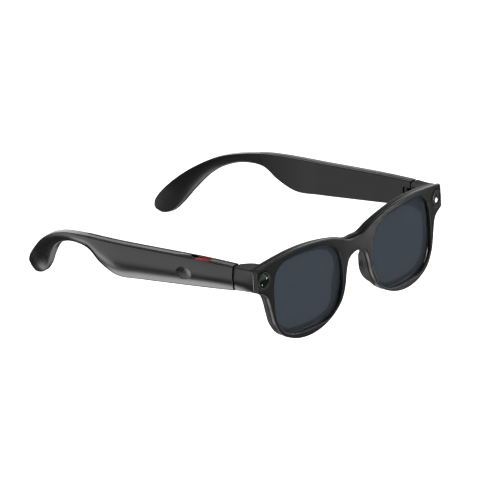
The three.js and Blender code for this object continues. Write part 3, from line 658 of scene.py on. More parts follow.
# Thickness at the edges as a share of the top width, crown outwards and crown inwards.
GIRTH = [(1, 0.7, 0), (1, 1, 0), (1, 1, 0), (1, 1, 0), (1, 0.95, 0), (0.97, 0.65, 0),
         (0.91, 0.36, 0.1), (0.87, 0.36, 0.3), (0.83, 0.36, 0.36), (0.8, 0.43, 0.43),
         (0.76, 0.5, 0.5), (0.74, 0.5, 0.5), (0.7, 0.43, 0.43), (0.6, 0.3, 0.3),
         (0.45, 0.15, 0.15)]


def edge_points(stations):
    return [Vector((INNER - curl, TEMPLE_START + min(place, 1) * BLADE + max(0, place - 1) * EAR, z))
            for curl, place, z in stations]


top_points = edge_points(TOP_EDGE)
bottom_points = edge_points(BOTTOM_EDGE)
girth_points = [Vector(g) for g in GIRTH]


def spine(t):
    return (spline_at(top_points, t) + spline_at(bottom_points, t)) / 2


def temple_section(t, inner=0.0, outer=None, shrink=0.0, groove=0.0):
    """One section at t from 0 to 1, from `inner` to `outer` across, `shrink` smaller all round."""
    rise = spline_at(top_points, t) - spline_at(bottom_points, t)
    along = spine(min(1, t + 0.01)) - spine(max(0, t - 0.01))
    out = along.cross(rise).normalized()
    up = rise.normalized()
    half = rise.length / 2 - shrink
    girth = spline_at(girth_points, t)
    thick = TEMPLE_TOP * girth.x - shrink
    crown = CROWN * girth.y
    start = inner + shrink
    if outer is not None:
        edge = min(0.25, half / 3)
        corners = [(start, -half, 0.45), (outer - shrink, -half, edge),
                   (outer - shrink, half, edge), (start, half, 0.5)]
    else:
        soft = min(0.75, half * 0.35, (thick - inner) * 0.3)
        fine = min(0.3 if inner > 0 else 0.6, half / 3)
        corners = [(start, -half, fine), (thick, -half, soft)]
        for k in range(-8, 9):
            v = 0.86 * k / 8
            corners.append((thick + crown * crown_share(v), v * half, 0))
        if inner >= 0 and groove > 0:
            brink = thick + crown * crown_share(1 - 0.75 / half)
            corners += [(brink, half - 0.75, 0), (brink - groove, half - 0.68, 0),
                        (brink - groove, half - 0.42, 0), (thick + 0.02, half - 0.34, 0.05)]
            corners += [(thick - 0.1, half, 0.3), (start, half, fine)]
        else:
            corners += [(thick, half, soft), (start, half, fine)]
        for v in (0.7, 0.35, 0, -0.35, -0.7):
            swell = CROWN * girth.z * (1 - v * v) if inner == 0 else 0
            corners.append((start - swell, v * half, 0))
    middle = spine(t)
    return [middle + out * p.x + up * p.y for p in rounded(corners)]


def station_at(distance):
    """The station whose inner face is `distance` behind the temple's front end."""
    t = 0.0
    while spline_at(top_points, t).y - TEMPLE_START < distance:
        t += 0.0005
    return t


# %% Temple shell and cover
COVER_LENGTH = BLADE + 20
SEAM_WIDTH = 0.45
EASE = 0.12
cover_end = station_at(COVER_LENGTH)
FRONT_SET = 0.3                                    # extra air between temple and end piece
front_t = station_at(FRONT_SET)
ease_t = station_at(FRONT_SET + EASE)
HINGE_HEIGHT = 6.6
KNUCKLE = 1.45
GAP = 0.3


def notch():
    """The room in the front end of the temple that the hinge turns in."""
    return box(INNER - 3, HINGE.x + KNUCKLE + GAP, TEMPLE_START - 3, HINGE.y + KNUCKLE + GAP,
               HINGE.z - HINGE_HEIGHT / 2 - GAP, HINGE.z + HINGE_HEIGHT / 2 + GAP)


GROOVE = 0.4                                       # depth of the parting groove under the top edge
GROOVE_END = 0.55


def groove_at(t):
    """The groove gets shallower towards the ear and runs out."""
    fade = min(max((GROOVE_END - t) / 0.15, 0), 1)
    return max(GROOVE * fade, 0.004)


def shell_body():
    inner = COVER + SEAM_WIDTH
    rings = [temple_section(front_t, inner, shrink=EASE, groove=GROOVE),
             temple_section(ease_t, inner, groove=GROOVE)]
    steps = 84
    for i in range(1, steps + 1):
        t = ease_t + (cover_end - ease_t) * i / steps
        rings.append(temple_section(t, inner, groove=groove_at(t)))
    steps = 70
    for i in range(steps + 1):
        t = cover_end + 0.0001 + (0.9999 - cover_end) * i / steps
        rings.append(temple_section(t, 0, groove=groove_at(t)))
    tip = rings[-1]
    middle = sum(tip, Vector()) / len(tip)
    before = sum(rings[-4], Vector()) / len(tip)
    ahead = (middle - before).normalized()
    for share, push in ((0.8, 0.22), (0.5, 0.4), (0.2, 0.48)):
        rings.append([middle + (p - middle) * share + ahead * push for p in tip])
    return loft(rings)


def cover_body():
    last = cover_end - 0.0002
    rings = [temple_section(front_t, 0, COVER, shrink=EASE), temple_section(ease_t, 0, COVER)]
    steps = 84
    for i in range(1, steps):
        rings.append(temple_section(ease_t + (last - ease_t) * i / steps, 0, COVER))
    rings.append(temple_section(last, 0, COVER, shrink=0.03))
    return loft(rings)


# %% Touch area, switch slot and hinge notch
DIMPLE = Vector((INNER + TEMPLE_TOP + CROWN, TEMPLE_START + 29, -7.0))
DIMPLE_RADIUS = 4.5
DIMPLE_DEPTH = 0.48
SLOT_Y = TEMPLE_START + BLADE / 5
SLOT_LENGTH = 19.0
SLOT_X = INNER + COVER + 0.7
SLOT_WIDTH = 2.3
SLOT_DEPTH = 0.8
SLOT_TOP = 1.3


def dish():
    radius = (DIMPLE_RADIUS ** 2 + DIMPLE_DEPTH ** 2) / (2 * DIMPLE_DEPTH)
    ball = bmesh.new()
    bmesh.ops.create_uvsphere(ball, u_segments=160, v_segments=80, radius=radius)
    bmesh.ops.rotate(ball, verts=ball.verts, matrix=Matrix.Rotation(math.pi / 2, 3, "Y"))
    bmesh.ops.translate(ball, verts=ball.verts,
                        vec=DIMPLE + Vector((radius - DIMPLE_DEPTH, 0, 0)))
    return ball


for label, side in (("right", -1), ("left", 1)):
    shell = combine(shell_body(), notch(), "DIFFERENCE")
    low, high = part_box(f"{label}_speaker_mesh")
    grille = TO_ROW.inverted() @ ((low + high) / 2)
    sound_slot = box(abs(grille.x) - 0.85, abs(grille.x) + 0.85, grille.y - 4.15, grille.y + 4.15,
                     grille.z - 4, grille.z + 1.6)
    shell = combine(shell, sound_slot, "DIFFERENCE")
    if side < 0:
        shell = combine(shell, dish(), "DIFFERENCE")
        mark_room = box(SLOT_X - 0.25, INNER + TEMPLE_TOP + 3, SLOT_Y, SLOT_Y + 8.75,
                        SLOT_TOP - SLOT_DEPTH, SLOT_TOP + 3)
        shell = combine(shell, mark_room, "DIFFERENCE")
        slot = box(SLOT_X, SLOT_X + SLOT_WIDTH, SLOT_Y, SLOT_Y + SLOT_LENGTH,
                   SLOT_TOP - SLOT_DEPTH, SLOT_TOP + 3)
        shell = combine(shell, slot, "DIFFERENCE")
    temple = calm(finish_piece(f"{label}_temple_moulding", for_side(shell, side), black_nylon,
                               f"{label}_temple", [f"{label}_temple_shell"]))
    paint_faces(temple, cover_nylon, lambda spot, normal: normal.x * side < -0.45)
    cover = combine(cover_body(), notch(), "DIFFERENCE")
    if side < 0:
        for contact in ("front", "rear"):
            low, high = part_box(f"right_charging_contact_{contact}")
            spot = TO_ROW.inverted() @ ((low + high) / 2)
            drill = bmesh.new()
            bmesh.ops.create_cone(drill, cap_ends=True, segments=48, radius1=1.45, radius2=1.45,
                                  depth=6)
            drill.transform(Matrix.Translation((INNER, spot.y, spot.z))
                            @ Matrix.Rotation(math.pi / 2, 4, "Y"))
            cover = combine(cover, drill, "DIFFERENCE")
    calm(finish_piece(f"{label}_inner_cover", for_side(cover, side), cover_nylon,
                      f"{label}_temple", [f"{label}_temple_cover"]))
    print(label, "temple faces", made[f"{label}_temple_moulding"], made[f"{label}_inner_cover"])

# %% [markdown]
# ## Turned parts
# Camera and light are turned parts. A lathe needs only half a section, drawn as distance from the
# axis against depth, and it turns that section round. Every corner of the section is rounded first,
# because no turned or moulded edge is truly sharp.

# %% Lathe
EYE_TURN = math.atan(2 * WRAP * EYE_X / HALF ** 2)
EYE_PROUD = 0.25
WINDOW_RADIUS = EYE_RADIUS - 0.85
FIT = 0.15


def lathe(corners, sides=72):
    """Turns a closed section of (radius, depth, rounding) corners round the Y axis."""
    section = rounded(corners)
    on_axis = section[0].x < 1e-6
    body = bmesh.new()
    rows = []
    for p in section:
        if p.x < 1e-6:
            rows.append([body.verts.new((0, p.y, 0))])
        else:
            angles = [2 * math.pi * i / sides for i in range(sides)]
            rows.append([body.verts.new((p.x * math.cos(a), p.y, p.x * math.sin(a))) for a in angles])
    following = rows[1:] if on_axis else rows[1:] + rows[:1]
    for one, two in zip(rows, following):
        for j in range(sides):
            k = (j + 1) % sides
            corner_set = []
            for vertex in (one[j % len(one)], one[k % len(one)], two[k % len(two)], two[j % len(two)]):
                if vertex not in corner_set:
                    corner_set.append(vertex)
            if len(corner_set) > 2:
                body.faces.new(corner_set)
    bmesh.ops.recalc_face_normals(body, faces=body.faces)
    return body


def at_eye(body, side, rise=0.0):
    """Puts a turned part into the corner of the front, square to the wrapped plate."""
    body.transform(
        Matrix.Translation((side * EYE_X, wrap_at(EYE_X), rise - EYE_DROP))
        @ Matrix.Rotation(side * EYE_TURN, 4, "Z"))
    return body


# %% [markdown]
# ## Camera
# From outside to inside: a dull ring, a domed window, a stepped barrel that swallows stray light and
# the small front element of the lens. The window is opaque: it is painted near black as painted shade
# for the dark barrel behind it, with a trace of green as a painted reflection of its coating. Most of
# what reads as a camera from a distance is that the window is the smoothest and darkest spot of the front.

# %% Camera materials
def glass_with_painted_tint(name, tint, gloss):
    """Opaque glossy glass whose `tint` paints shade and coloured reflection. `gloss` is how much it mirrors."""
    material, tree, surface = shader(name)
    place = add(tree, "ShaderNodeTexCoord")
    smear = add(tree, "ShaderNodeTexNoise", {"Vector": place.outputs["Object"]}, Scale=600.0)
    rough = add(tree, "ShaderNodeMapRange", {"Value": smear.outputs["Fac"]})
    rough.inputs["To Min"].default_value = 0.01
    rough.inputs["To Max"].default_value = 0.04
    tree.links.new(rough.outputs["Result"], surface.inputs["Roughness"])
    surface.inputs["Base Color"].default_value = linear(tint)
    surface.inputs["IOR"].default_value = 1.5
    surface.inputs["Specular IOR Level"].default_value = gloss
    return material


# Window glass painted opaque and near black: painted shade for the dark barrel behind it, a trace
# of green as a painted reflection of its coating, and a hard gloss on top.
painted_window_glass = glass_with_painted_tint("window_glass_painted_dark_green", "#04140a", 0.28)
# The front element is painted dark green: a painted reflection of its coating, in the base colour.
painted_element_glass = glass_with_painted_tint("lens_glass_painted_green_sheen", "#0a3013", 0.25)

# %% Camera parts
ring = lathe([(WINDOW_RADIUS + FIT, 0.35, 0.1), (WINDOW_RADIUS + FIT, 1.75, 0.1),
              (EYE_RADIUS, 1.75, 0.1), (EYE_RADIUS, -EYE_PROUD, 0.22),
              (WINDOW_RADIUS + 0.42, -EYE_PROUD, 0.12)], 96)
finish_piece("camera_ring", at_eye(ring, -1), black_acetal, "front", ["camera_bezel"],
             sharp=50)
dome = [(0, -0.12, 0)]
for i in range(1, 9):
    share = i / 8
    dome.append((share * (WINDOW_RADIUS - 0.1), -0.12 + 0.36 * share ** 2, 0))
window = lathe(dome + [(WINDOW_RADIUS, 0.36, 0), (WINDOW_RADIUS, 0.9, 0.08), (0, 0.9, 0)])
finish_piece("camera_dome_window", at_eye(window, -1), painted_window_glass, "front",
             ["camera_window"])
barrel = lathe([(0, 3.5, 0), (1.1, 3.5, 0), (1.1, 2.4, 0.05), (1.6, 2.4, 0.05),
                (1.6, 2.05, 0.05), (1.95, 2.05, 0.05), (1.95, 1.7, 0.05), (2.3, 1.7, 0.05),
                (2.3, 1.35, 0.06), (2.6, 1.35, 0.08), (2.6, 2.5, 0.05), (2.9, 2.5, 0.1),
                (2.9, 4.85, 0.1), (0, 4.85, 0)])
finish_piece("camera_stepped_barrel", at_eye(barrel, -1), soft_touch, "front",
             ["camera_barrel"], sharp=30)
bulb = [(0, 1.25, 0)]
for i in range(1, 9):
    share = i / 8
    bulb.append((1.75 * math.sin(share * 1.2) / math.sin(1.2), 1.25 + 0.8 * (1 - math.cos(share * 1.2)) / 0.64, 0))
element = lathe(bulb + [(1.55, 2.3, 0.05), (0, 2.3, 0)])
finish_piece("camera_front_element", at_eye(element, -1), painted_element_glass, "front", [])

# %% [markdown]
# ## Light and light sensor
# The other corner has the same ring size, so the front looks even. Its disc has a groove near the
# edge, a milky window for the light and a small dark one for the sensor.

# %% Light parts
SPOT_RADIUS = 1.1
SENSOR_RADIUS = 0.75
SPOT_DROP = 0.95
SENSOR_RISE = 2.0
disc = lathe([(0, -0.05, 0), (3.05, -0.05, 0.08), (3.05, 0.35, 0.06), (3.4, 0.35, 0.06),
              (3.4, -EYE_PROUD, 0.12), (EYE_RADIUS, -EYE_PROUD, 0.2), (EYE_RADIUS, 1.75, 0.1),
              (0, 1.75, 0)], 96)
for radius, rise in ((SPOT_RADIUS, -SPOT_DROP), (SENSOR_RADIUS, SENSOR_RISE)):
    hole = lathe([(0, -2, 0), (radius + 1.9, -2, 0), (radius + FIT, 0.1, 0), (radius + FIT, 4, 0),
                  (0, 4, 0)], 48)
    hole.transform(Matrix.Translation((0, 0, rise)))
    disc = combine(disc, hole, "DIFFERENCE")
finish_piece("light_disc", at_eye(disc, 1), black_acetal, "front", ["light_bezel"],
             sharp=50)


def glowing_milky_window_material():
    """Milky acrylic over the light with a painted glow: an emission keeps it white from every side."""
    material, tree, surface = shader("milky_acrylic_painted_glow")
    place = add(tree, "ShaderNodeTexCoord")
    cloud = add(tree, "ShaderNodeTexNoise", {"Vector": place.outputs["Object"]}, Scale=900.0)
    tones = add(tree, "ShaderNodeValToRGB", {"Fac": cloud.outputs["Fac"]})
    dark, light = tones.color_ramp.elements
    dark.color = linear("#f0f2f4")
    light.color = linear("#fdfdff")
    tree.links.new(tones.outputs["Color"], surface.inputs["Base Color"])
    # Painted glow: the emission makes the window shine white without a lamp behind it.
    tree.links.new(tones.outputs["Color"], surface.inputs["Emission Color"])
    surface.inputs["Emission Strength"].default_value = 0.7
    surface.inputs["Roughness"].default_value = 0.25
    surface.inputs["IOR"].default_value = 1.49
    return material


def dark_window_material():
    """Nearly opaque filter glass of the light sensor."""
    material, tree, surface = shader("dark_filter_glass")
    place = add(tree, "ShaderNodeTexCoord")
    cloud = add(tree, "ShaderNodeTexNoise", {"Vector": place.outputs["Object"]}, Scale=700.0)
    tones = add(tree, "ShaderNodeValToRGB", {"Fac": cloud.outputs["Fac"]})
    dark, light = tones.color_ramp.elements
    dark.color = linear("#060406")
    light.color = linear("#0d090c")
    tree.links.new(tones.outputs["Color"], surface.inputs["Base Color"])
    surface.inputs["Roughness"].default_value = 0.05
    surface.inputs["IOR"].default_value = 1.52
    return material


milky = glowing_milky_window_material()
filter_glass = dark_window_material()
spot = lathe([(0, -0.1, 0), (0.6, -0.04, 0), (SPOT_RADIUS, 0.12, 0.05), (SPOT_RADIUS, 1.6, 0.1),
              (0, 1.6, 0)], 48)
finish_piece("light_milky_window", at_eye(spot, 1, -SPOT_DROP), milky, "front",
             ["light_window"])
sensor = lathe([(0, 0.25, 0), (0.4, 0.27, 0), (SENSOR_RADIUS, 0.36, 0.05), (SENSOR_RADIUS, 1.5, 0.08),
                (0, 1.5, 0)], 40)
finish_piece("sensor_filter", at_eye(sensor, 1, SENSOR_RISE), filter_glass, "front",
             ["sensor_window"])

# %% [markdown]
# ## Power switch
# The switch lies in a slot in the top of the right temple. A red mark lies in the slot and laps over
# its outer edge, and a small ribbed knob slides over it. The ribs repeat at one spacing, so a
# Geometry Nodes group places them: a line of points, one short round bar on every point, then
# realised, so that the knob stays one mesh.

# %% Geometry Nodes helpers
def node_tree(name, inputs):
    """A Geometry Nodes group with a geometry in and out and named number inputs."""
    group = bpy.data.node_groups.new(name, "GeometryNodeTree")
    group.interface.new_socket("Geometry", in_out="INPUT", socket_type="NodeSocketGeometry")
    for label, kind in inputs:
        group.interface.new_socket(label, in_out="INPUT", socket_type=kind)
    group.interface.new_socket("Geometry", in_out="OUTPUT", socket_type="NodeSocketGeometry")
    return group, add(group, "NodeGroupInput"), add(group, "NodeGroupOutput")


def grow(body, group, values):
    """Runs a group on a body and gives back the finished body."""
    mesh = bpy.data.meshes.new("base")
    body.to_mesh(mesh)
    body.free()
    holder = bpy.data.objects.new("base", mesh)
    bpy.context.collection.objects.link(holder)
    nodes = holder.modifiers.new("grow", "NODES")
    nodes.node_group = group
    for item in group.interface.items_tree:
        if item.in_out == "INPUT" and item.name in values:
            nodes[item.identifier] = values[item.name]
    depsgraph = bpy.context.evaluated_depsgraph_get()
    result_mesh = bpy.data.meshes.new_from_object(holder.evaluated_get(depsgraph))
    result = bmesh.new()
    result.from_mesh(result_mesh)
    bpy.data.objects.remove(holder)
    bpy.data.meshes.remove(mesh)
    bpy.data.meshes.remove(result_mesh)
    return result


def bar_row(group, count, pitch, start, length, radius, turn):
    """Round bars side by side: nodes for one row, giving back the instances."""
    points = add(group, "GeometryNodeMeshLine")
    group.links.new(count, points.inputs["Count"])
    group.links.new(start, points.inputs["Start Location"])
    group.links.new(pitch, points.inputs["Offset"])
    bar = add(group, "GeometryNodeMeshCylinder", Vertices=10)
    group.links.new(radius, bar.inputs["Radius"])
    group.links.new(length, bar.inputs["Depth"])
    placed = add(group, "GeometryNodeInstanceOnPoints",
                 {"Points": points.outputs["Mesh"], "Instance": bar.outputs["Mesh"]})
    placed.inputs["Rotation"].default_value = turn
    return placed.outputs["Instances"]


# %% Ribs of the knob
def rib_group():
    group, start, end = node_tree("ribs", [
        ("Count", "NodeSocketInt"), ("First", "NodeSocketVector"), ("Pitch", "NodeSocketVector"),
        ("Length", "NodeSocketFloat"), ("Radius", "NodeSocketFloat"),
        ("Material", "NodeSocketMaterial")])
    bars = bar_row(group, start.outputs["Count"], start.outputs["Pitch"], start.outputs["First"],
                   start.outputs["Length"], start.outputs["Radius"], (0, math.pi / 2, 0))
    real = add(group, "GeometryNodeRealizeInstances", {"Geometry": bars})
    both = add(group, "GeometryNodeJoinGeometry")
    group.links.new(start.outputs["Geometry"], both.inputs["Geometry"])
    group.links.new(real.outputs["Geometry"], both.inputs["Geometry"])
    painted = add(group, "GeometryNodeSetMaterial", {"Geometry": both.outputs["Geometry"],
                                                     "Material": start.outputs["Material"]})
    group.links.new(painted.outputs["Geometry"], end.inputs["Geometry"])
    return group


def soft_box(x0, x1, y0, y1, z0, z1, radius):
    """A box with all its edges rounded."""
    body = box(x0, x1, y0, y1, z0, z1)
    bmesh.ops.bevel(body, geom=body.edges[:], offset=radius, segments=4, profile=0.5,
                    affect="EDGES")
    return body


KNOB = 6.6
KNOB_TOP = SLOT_TOP + 0.3
KNOB_LOW = SLOT_TOP - SLOT_DEPTH + 0.3 + FIT
knob_end = SLOT_Y + SLOT_LENGTH - FIT
knob = soft_box(SLOT_X + FIT, SLOT_X + SLOT_WIDTH - FIT, knob_end - KNOB, knob_end, KNOB_LOW,
                KNOB_TOP - 0.2, 0.12)
RIBS = 6
RIB_PITCH = (KNOB - 0.8) / (RIBS - 1)
knob = grow(knob, rib_group(), {
    "Count": RIBS, "First": (SLOT_X + SLOT_WIDTH / 2, knob_end - KNOB + 0.4, KNOB_TOP - 0.24),
    "Pitch": (0, RIB_PITCH, 0), "Length": SLOT_WIDTH - 2 * FIT - 0.3, "Radius": 0.24,
    "Material": black_nylon})
stem = box(SLOT_X + FIT, SLOT_X + 0.65, knob_end - KNOB / 2 - 1.5, knob_end - KNOB / 2 + 1.5,
           SLOT_TOP - 2, KNOB_LOW + 0.2)
knob = combine(knob, stem, "UNION")
finish_piece("switch_ribbed_knob", mirrored(knob), black_nylon, "power_switch",
             ["right_switch_knob"], sharp=30)

# %% Red mark
MARK_LENGTH = SLOT_LENGTH - KNOB - 4
lip_out = INNER + TEMPLE_TOP
mark_section = [(SLOT_X - 0.22, -0.76, 0.04), (lip_out + 0.3, -0.76, 0.04),
                (lip_out + 0.02, -0.14, 0.2), (SLOT_X + SLOT_WIDTH + 0.03, -0.14, 0.08),
                (SLOT_X + SLOT_WIDTH - 0.05, -0.45, 0.05), (SLOT_X + 0.1, -0.45, 0.05),
                (SLOT_X + 0.05, -0.1, 0.04), (SLOT_X - 0.22, -0.1, 0.04)]
rings = []
for y, shrink in ((0.05, 0.03), (0.1, 0), (MARK_LENGTH - 0.05, 0), (MARK_LENGTH, 0.03)):
    eased = [(x + (shrink if x < SLOT_X else -shrink), z + (shrink if z < -0.5 else -shrink), r)
             for x, z, r in mark_section]
    rings.append([(p.x, SLOT_Y + FIT + y, SLOT_TOP + p.y) for p in rounded(eased)])
# The stem of the knob reaches into this part of the slot, so the mark leaves it free.
stem_room = box(SLOT_X, SLOT_X + 0.85, knob_end - KNOB / 2 - 1.5 - 8.3, SLOT_Y + 12, SLOT_TOP - 2,
                SLOT_TOP - 0.3)
mark = combine(loft(rings), stem_room, "DIFFERENCE")
finish_piece("switch_red_mark", mirrored(mark), red_abs, "right_temple",
             ["right_switch_mark"])

# %% [markdown]
# ## Speaker mesh
# The sound leaves through a slot in the bottom edge of the temple. A mesh of fine steel wire,
# welded where the wires cross, keeps dust out. The wires repeat at one pitch in two directions,
# so two rows of bars in Geometry Nodes make it.

# %% Steel
def steel(name, tone, roughness, along):
    """Brushed steel: the noise is stretched along the brushing and feeds roughness and colour."""
    material, tree, surface = shader(name)
    place = add(tree, "ShaderNodeTexCoord")
    stretch = add(tree, "ShaderNodeMapping", {"Vector": place.outputs["Object"]})
    stretch.inputs["Scale"].default_value = along
    lines = add(tree, "ShaderNodeTexNoise", {"Vector": stretch.outputs["Vector"]}, Scale=1 / MM)
    rough = add(tree, "ShaderNodeMapRange", {"Value": lines.outputs["Fac"]})
    rough.inputs["To Min"].default_value = roughness - 0.08
    rough.inputs["To Max"].default_value = roughness + 0.08
    tones = add(tree, "ShaderNodeValToRGB", {"Fac": lines.outputs["Fac"]})
    dark, light = tones.color_ramp.elements
    base = linear(tone)
    dark.color = (*[0.85 * v for v in base[:3]], 1)
    light.color = base
    tree.links.new(tones.outputs["Color"], surface.inputs["Base Color"])
    tree.links.new(rough.outputs["Result"], surface.inputs["Roughness"])
    surface.inputs["Metallic"].default_value = 1.0
    return material


brushed_steel = steel("blackened_steel", "#3b3c3e", 0.36, (4, 0.4, 4))
wire_steel = steel("black_oxide_wire", "#3c3d3f", 0.4, (2, 2, 2))

# %% Wire mesh
WIRE = 0.07
WIRE_PITCH = 0.24


def mesh_group():
    group, start, end = node_tree("wire mesh", [
        ("Across Count", "NodeSocketInt"), ("Along Count", "NodeSocketInt"),
        ("Across First", "NodeSocketVector"), ("Along First", "NodeSocketVector"),
        ("Across Pitch", "NodeSocketVector"), ("Along Pitch", "NodeSocketVector"),
        ("Wide", "NodeSocketFloat"), ("Long", "NodeSocketFloat"), ("Radius", "NodeSocketFloat"),
        ("Material", "NodeSocketMaterial")])
    across = bar_row(group, start.outputs["Across Count"], start.outputs["Across Pitch"],
                     start.outputs["Across First"], start.outputs["Wide"],
                     start.outputs["Radius"], (0, math.pi / 2, 0))
    along = bar_row(group, start.outputs["Along Count"], start.outputs["Along Pitch"],
                    start.outputs["Along First"], start.outputs["Long"],
                    start.outputs["Radius"], (math.pi / 2, 0, 0))
    both = add(group, "GeometryNodeJoinGeometry")
    for source in (start.outputs["Geometry"], across, along):
        group.links.new(source, both.inputs["Geometry"])
    real = add(group, "GeometryNodeRealizeInstances", {"Geometry": both.outputs["Geometry"]})
    painted = add(group, "GeometryNodeSetMaterial", {"Geometry": real.outputs["Geometry"],
                                                     "Material": start.outputs["Material"]})
    group.links.new(painted.outputs["Geometry"], end.inputs["Geometry"])
    return group


wires = mesh_group()
for label, side in (("right", -1), ("left", 1)):
    low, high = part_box(f"{label}_speaker_mesh")
    centre = TO_ROW.inverted() @ ((low + high) / 2)
    centre.x = abs(centre.x)
    frame_wide = 1.4
    frame_long = 8.0
    rim_body = soft_box(centre.x - frame_wide / 2, centre.x + frame_wide / 2, centre.y - frame_long / 2,
                        centre.y + frame_long / 2, centre.z - 0.18, centre.z + 0.18, 0.06)
    hole = box(centre.x - frame_wide / 2 + 0.16, centre.x + frame_wide / 2 - 0.16,
               centre.y - frame_long / 2 + 0.16, centre.y + frame_long / 2 - 0.16,
               centre.z - 1, centre.z + 1)
    rim_body = combine(rim_body, hole, "DIFFERENCE")
    across_count = int((frame_long - 0.4) / WIRE_PITCH)
    along_count = 4
    mesh_body = grow(rim_body, wires, {
        "Across Count": across_count, "Along Count": along_count,
        "Across First": (centre.x, centre.y - (across_count - 1) * WIRE_PITCH / 2, centre.z),
        "Along First": (centre.x - (along_count - 1) * WIRE_PITCH / 2, centre.y, centre.z + WIRE),
        "Across Pitch": (0, WIRE_PITCH, 0), "Along Pitch": (WIRE_PITCH, 0, 0),
        "Wide": frame_wide - 0.2, "Long": frame_long - 0.2, "Radius": WIRE,
        "Material": wire_steel})
    finish_piece(f"{label}_wire_mesh", for_side(mesh_body, side), wire_steel, f"{label}_temple",
                 [f"{label}_speaker_mesh"], sharp=60)
    print(label, "wire mesh faces", made[f"{label}_wire_mesh"])

# %% [markdown]
# ## Hinges
# The hinge leaves, pins and screws already have their true shape in the model. They only lack the
# small rounding that a tumbled steel part has, so each leaf and pin becomes a merged copy with a
# bevel; the screws keep their shape.

# %% Hinge pieces
def rounded_copy(node, material, rides, width):
    """A merged copy of a rough node with softened edges."""
    body = bmesh.new()
    body.from_mesh(frame["nodes"][node].data)
    bmesh.ops.remove_doubles(body, verts=body.verts, dist=1e-6)
    body.transform(TO_ROW.inverted())
    bmesh.ops.dissolve_limit(body, angle_limit=math.radians(3), verts=body.verts, edges=body.edges)
    crisp = [e for e in body.edges if len(e.link_faces) == 2
             and e.calc_face_angle(0) > math.radians(50)]
    bmesh.ops.bevel(body, geom=crisp, offset=width, segments=2, profile=0.5, affect="EDGES",
                    clamp_overlap=True)
    bmesh.ops.triangulate(body, faces=body.faces[:])
    bmesh.ops.recalc_face_normals(body, faces=body.faces)
    return calm(finish_piece(f"{node}_tumbled", body, material, rides, [node], sharp=35))


for label in ("right", "left"):
    rounded_copy(f"{label}_hinge_front_leaf", brushed_steel, "front", 0.08)
    rounded_copy(f"{label}_hinge_temple_leaf", brushed_steel, f"{label}_temple", 0.08)
    rounded_copy(f"{label}_hinge_pin", brushed_steel, "front", 0.06)

# %% [markdown]
# ## Inner parts
# These parts are never seen while the glasses are whole, but they show when the glasses are
# opened. Their shapes come from the model as they are, and each one gets the look of its real
# material.

# %% Finishes of the inner parts
def speckled(name, dark_tone, light_tone, roughness, size_mm, metallic=0.0, pattern="noise",
             bump=0.1, ior=1.5):
    """Two tones in a pattern of a real size, which also raises the surface a little."""
    material, tree, surface = shader(name)
    place = add(tree, "ShaderNodeTexCoord")
    if pattern == "cells":
        source = add(tree, "ShaderNodeTexVoronoi", {"Vector": place.outputs["Object"]},
                     Scale=1 / (size_mm * MM), distance="MANHATTAN").outputs["Distance"]
    elif pattern == "bands":
        source = add(tree, "ShaderNodeTexWave", {"Vector": place.outputs["Object"]},
                     Scale=1 / (size_mm * MM), Distortion=0.6, bands_direction="Z").outputs["Fac"]
    else:
        source = add(tree, "ShaderNodeTexNoise", {"Vector": place.outputs["Object"]},
                     Scale=1 / (size_mm * MM), Detail=4.0).outputs["Fac"]
    tones = add(tree, "ShaderNodeValToRGB", {"Fac": source})
    low, high = tones.color_ramp.elements
    low.position = 0.35
    high.position = 0.65
    low.color = linear(dark_tone)
    high.color = linear(light_tone)
    relief = add(tree, "ShaderNodeBump", {"Height": source}, Strength=bump, Distance=0.05 * MM)
    tree.links.new(tones.outputs["Color"], surface.inputs["Base Color"])
    tree.links.new(relief.outputs["Normal"], surface.inputs["Normal"])
    surface.inputs["Roughness"].default_value = roughness
    surface.inputs["Metallic"].default_value = metallic
    if metallic == 0.0:
        surface.inputs["IOR"].default_value = ior
    return material


# Green solder mask over copper tracks, which show as a paler pattern.
solder_mask = speckled("green_solder_mask", "#0e3b22", "#1f6a3c", 0.35, 1.2, pattern="cells")
# Polyimide ribbon: amber, with fine parallel conductors under the film.
polyimide = speckled("amber_polyimide", "#8a4d10", "#c07a22", 0.4, 0.35, pattern="bands", ior=1.7)
# Battery pouch: aluminium foil under a clear film, softly crumpled.
pouch_foil = speckled("pouch_foil", "#9a9da0", "#c9cbcd", 0.35, 3.0, metallic=1.0, bump=0.5)
# Speaker: black coated paper and plastic with a dull grain.
speaker_black = speckled("speaker_black", "#0d0d0e", "#1b1b1c", 0.6, 0.4, bump=0.3)
# Gold plating over nickel, soft and warm.
gold_plate = speckled("gold_plate", "#c9973c", "#e3b85c", 0.25, 0.6, metallic=1.0, bump=0.05)

inner_finishes = {
    "camera_board": solder_mask, "light_board": solder_mask, "front_flex": polyimide,
    "microphone": brushed_steel, "right_touch_sensor": gold_plate, "right_switch_body": black_acetal,
}
for label in ("right", "left"):
    inner_finishes[f"{label}_circuit_board"] = solder_mask
    inner_finishes[f"{label}_battery"] = pouch_foil
    inner_finishes[f"{label}_speaker"] = speaker_black
    inner_finishes[f"{label}_hinge_front_screw"] = brushed_steel
    inner_finishes[f"{label}_hinge_temple_screw"] = brushed_steel
for node, finish in inner_finishes.items():
    rough_part = frame["nodes"][node]
    rough_part.data.materials.clear()
    rough_part.data.materials.append(finish)
print("inner parts with a finish:", len(inner_finishes))

# %% [markdown]
# ## Charging contacts
# Two gold-plated pins sit flush in the inner cover of the right temple. Each has a shallow cup in
# the middle, in which the pin of the charger finds its place.

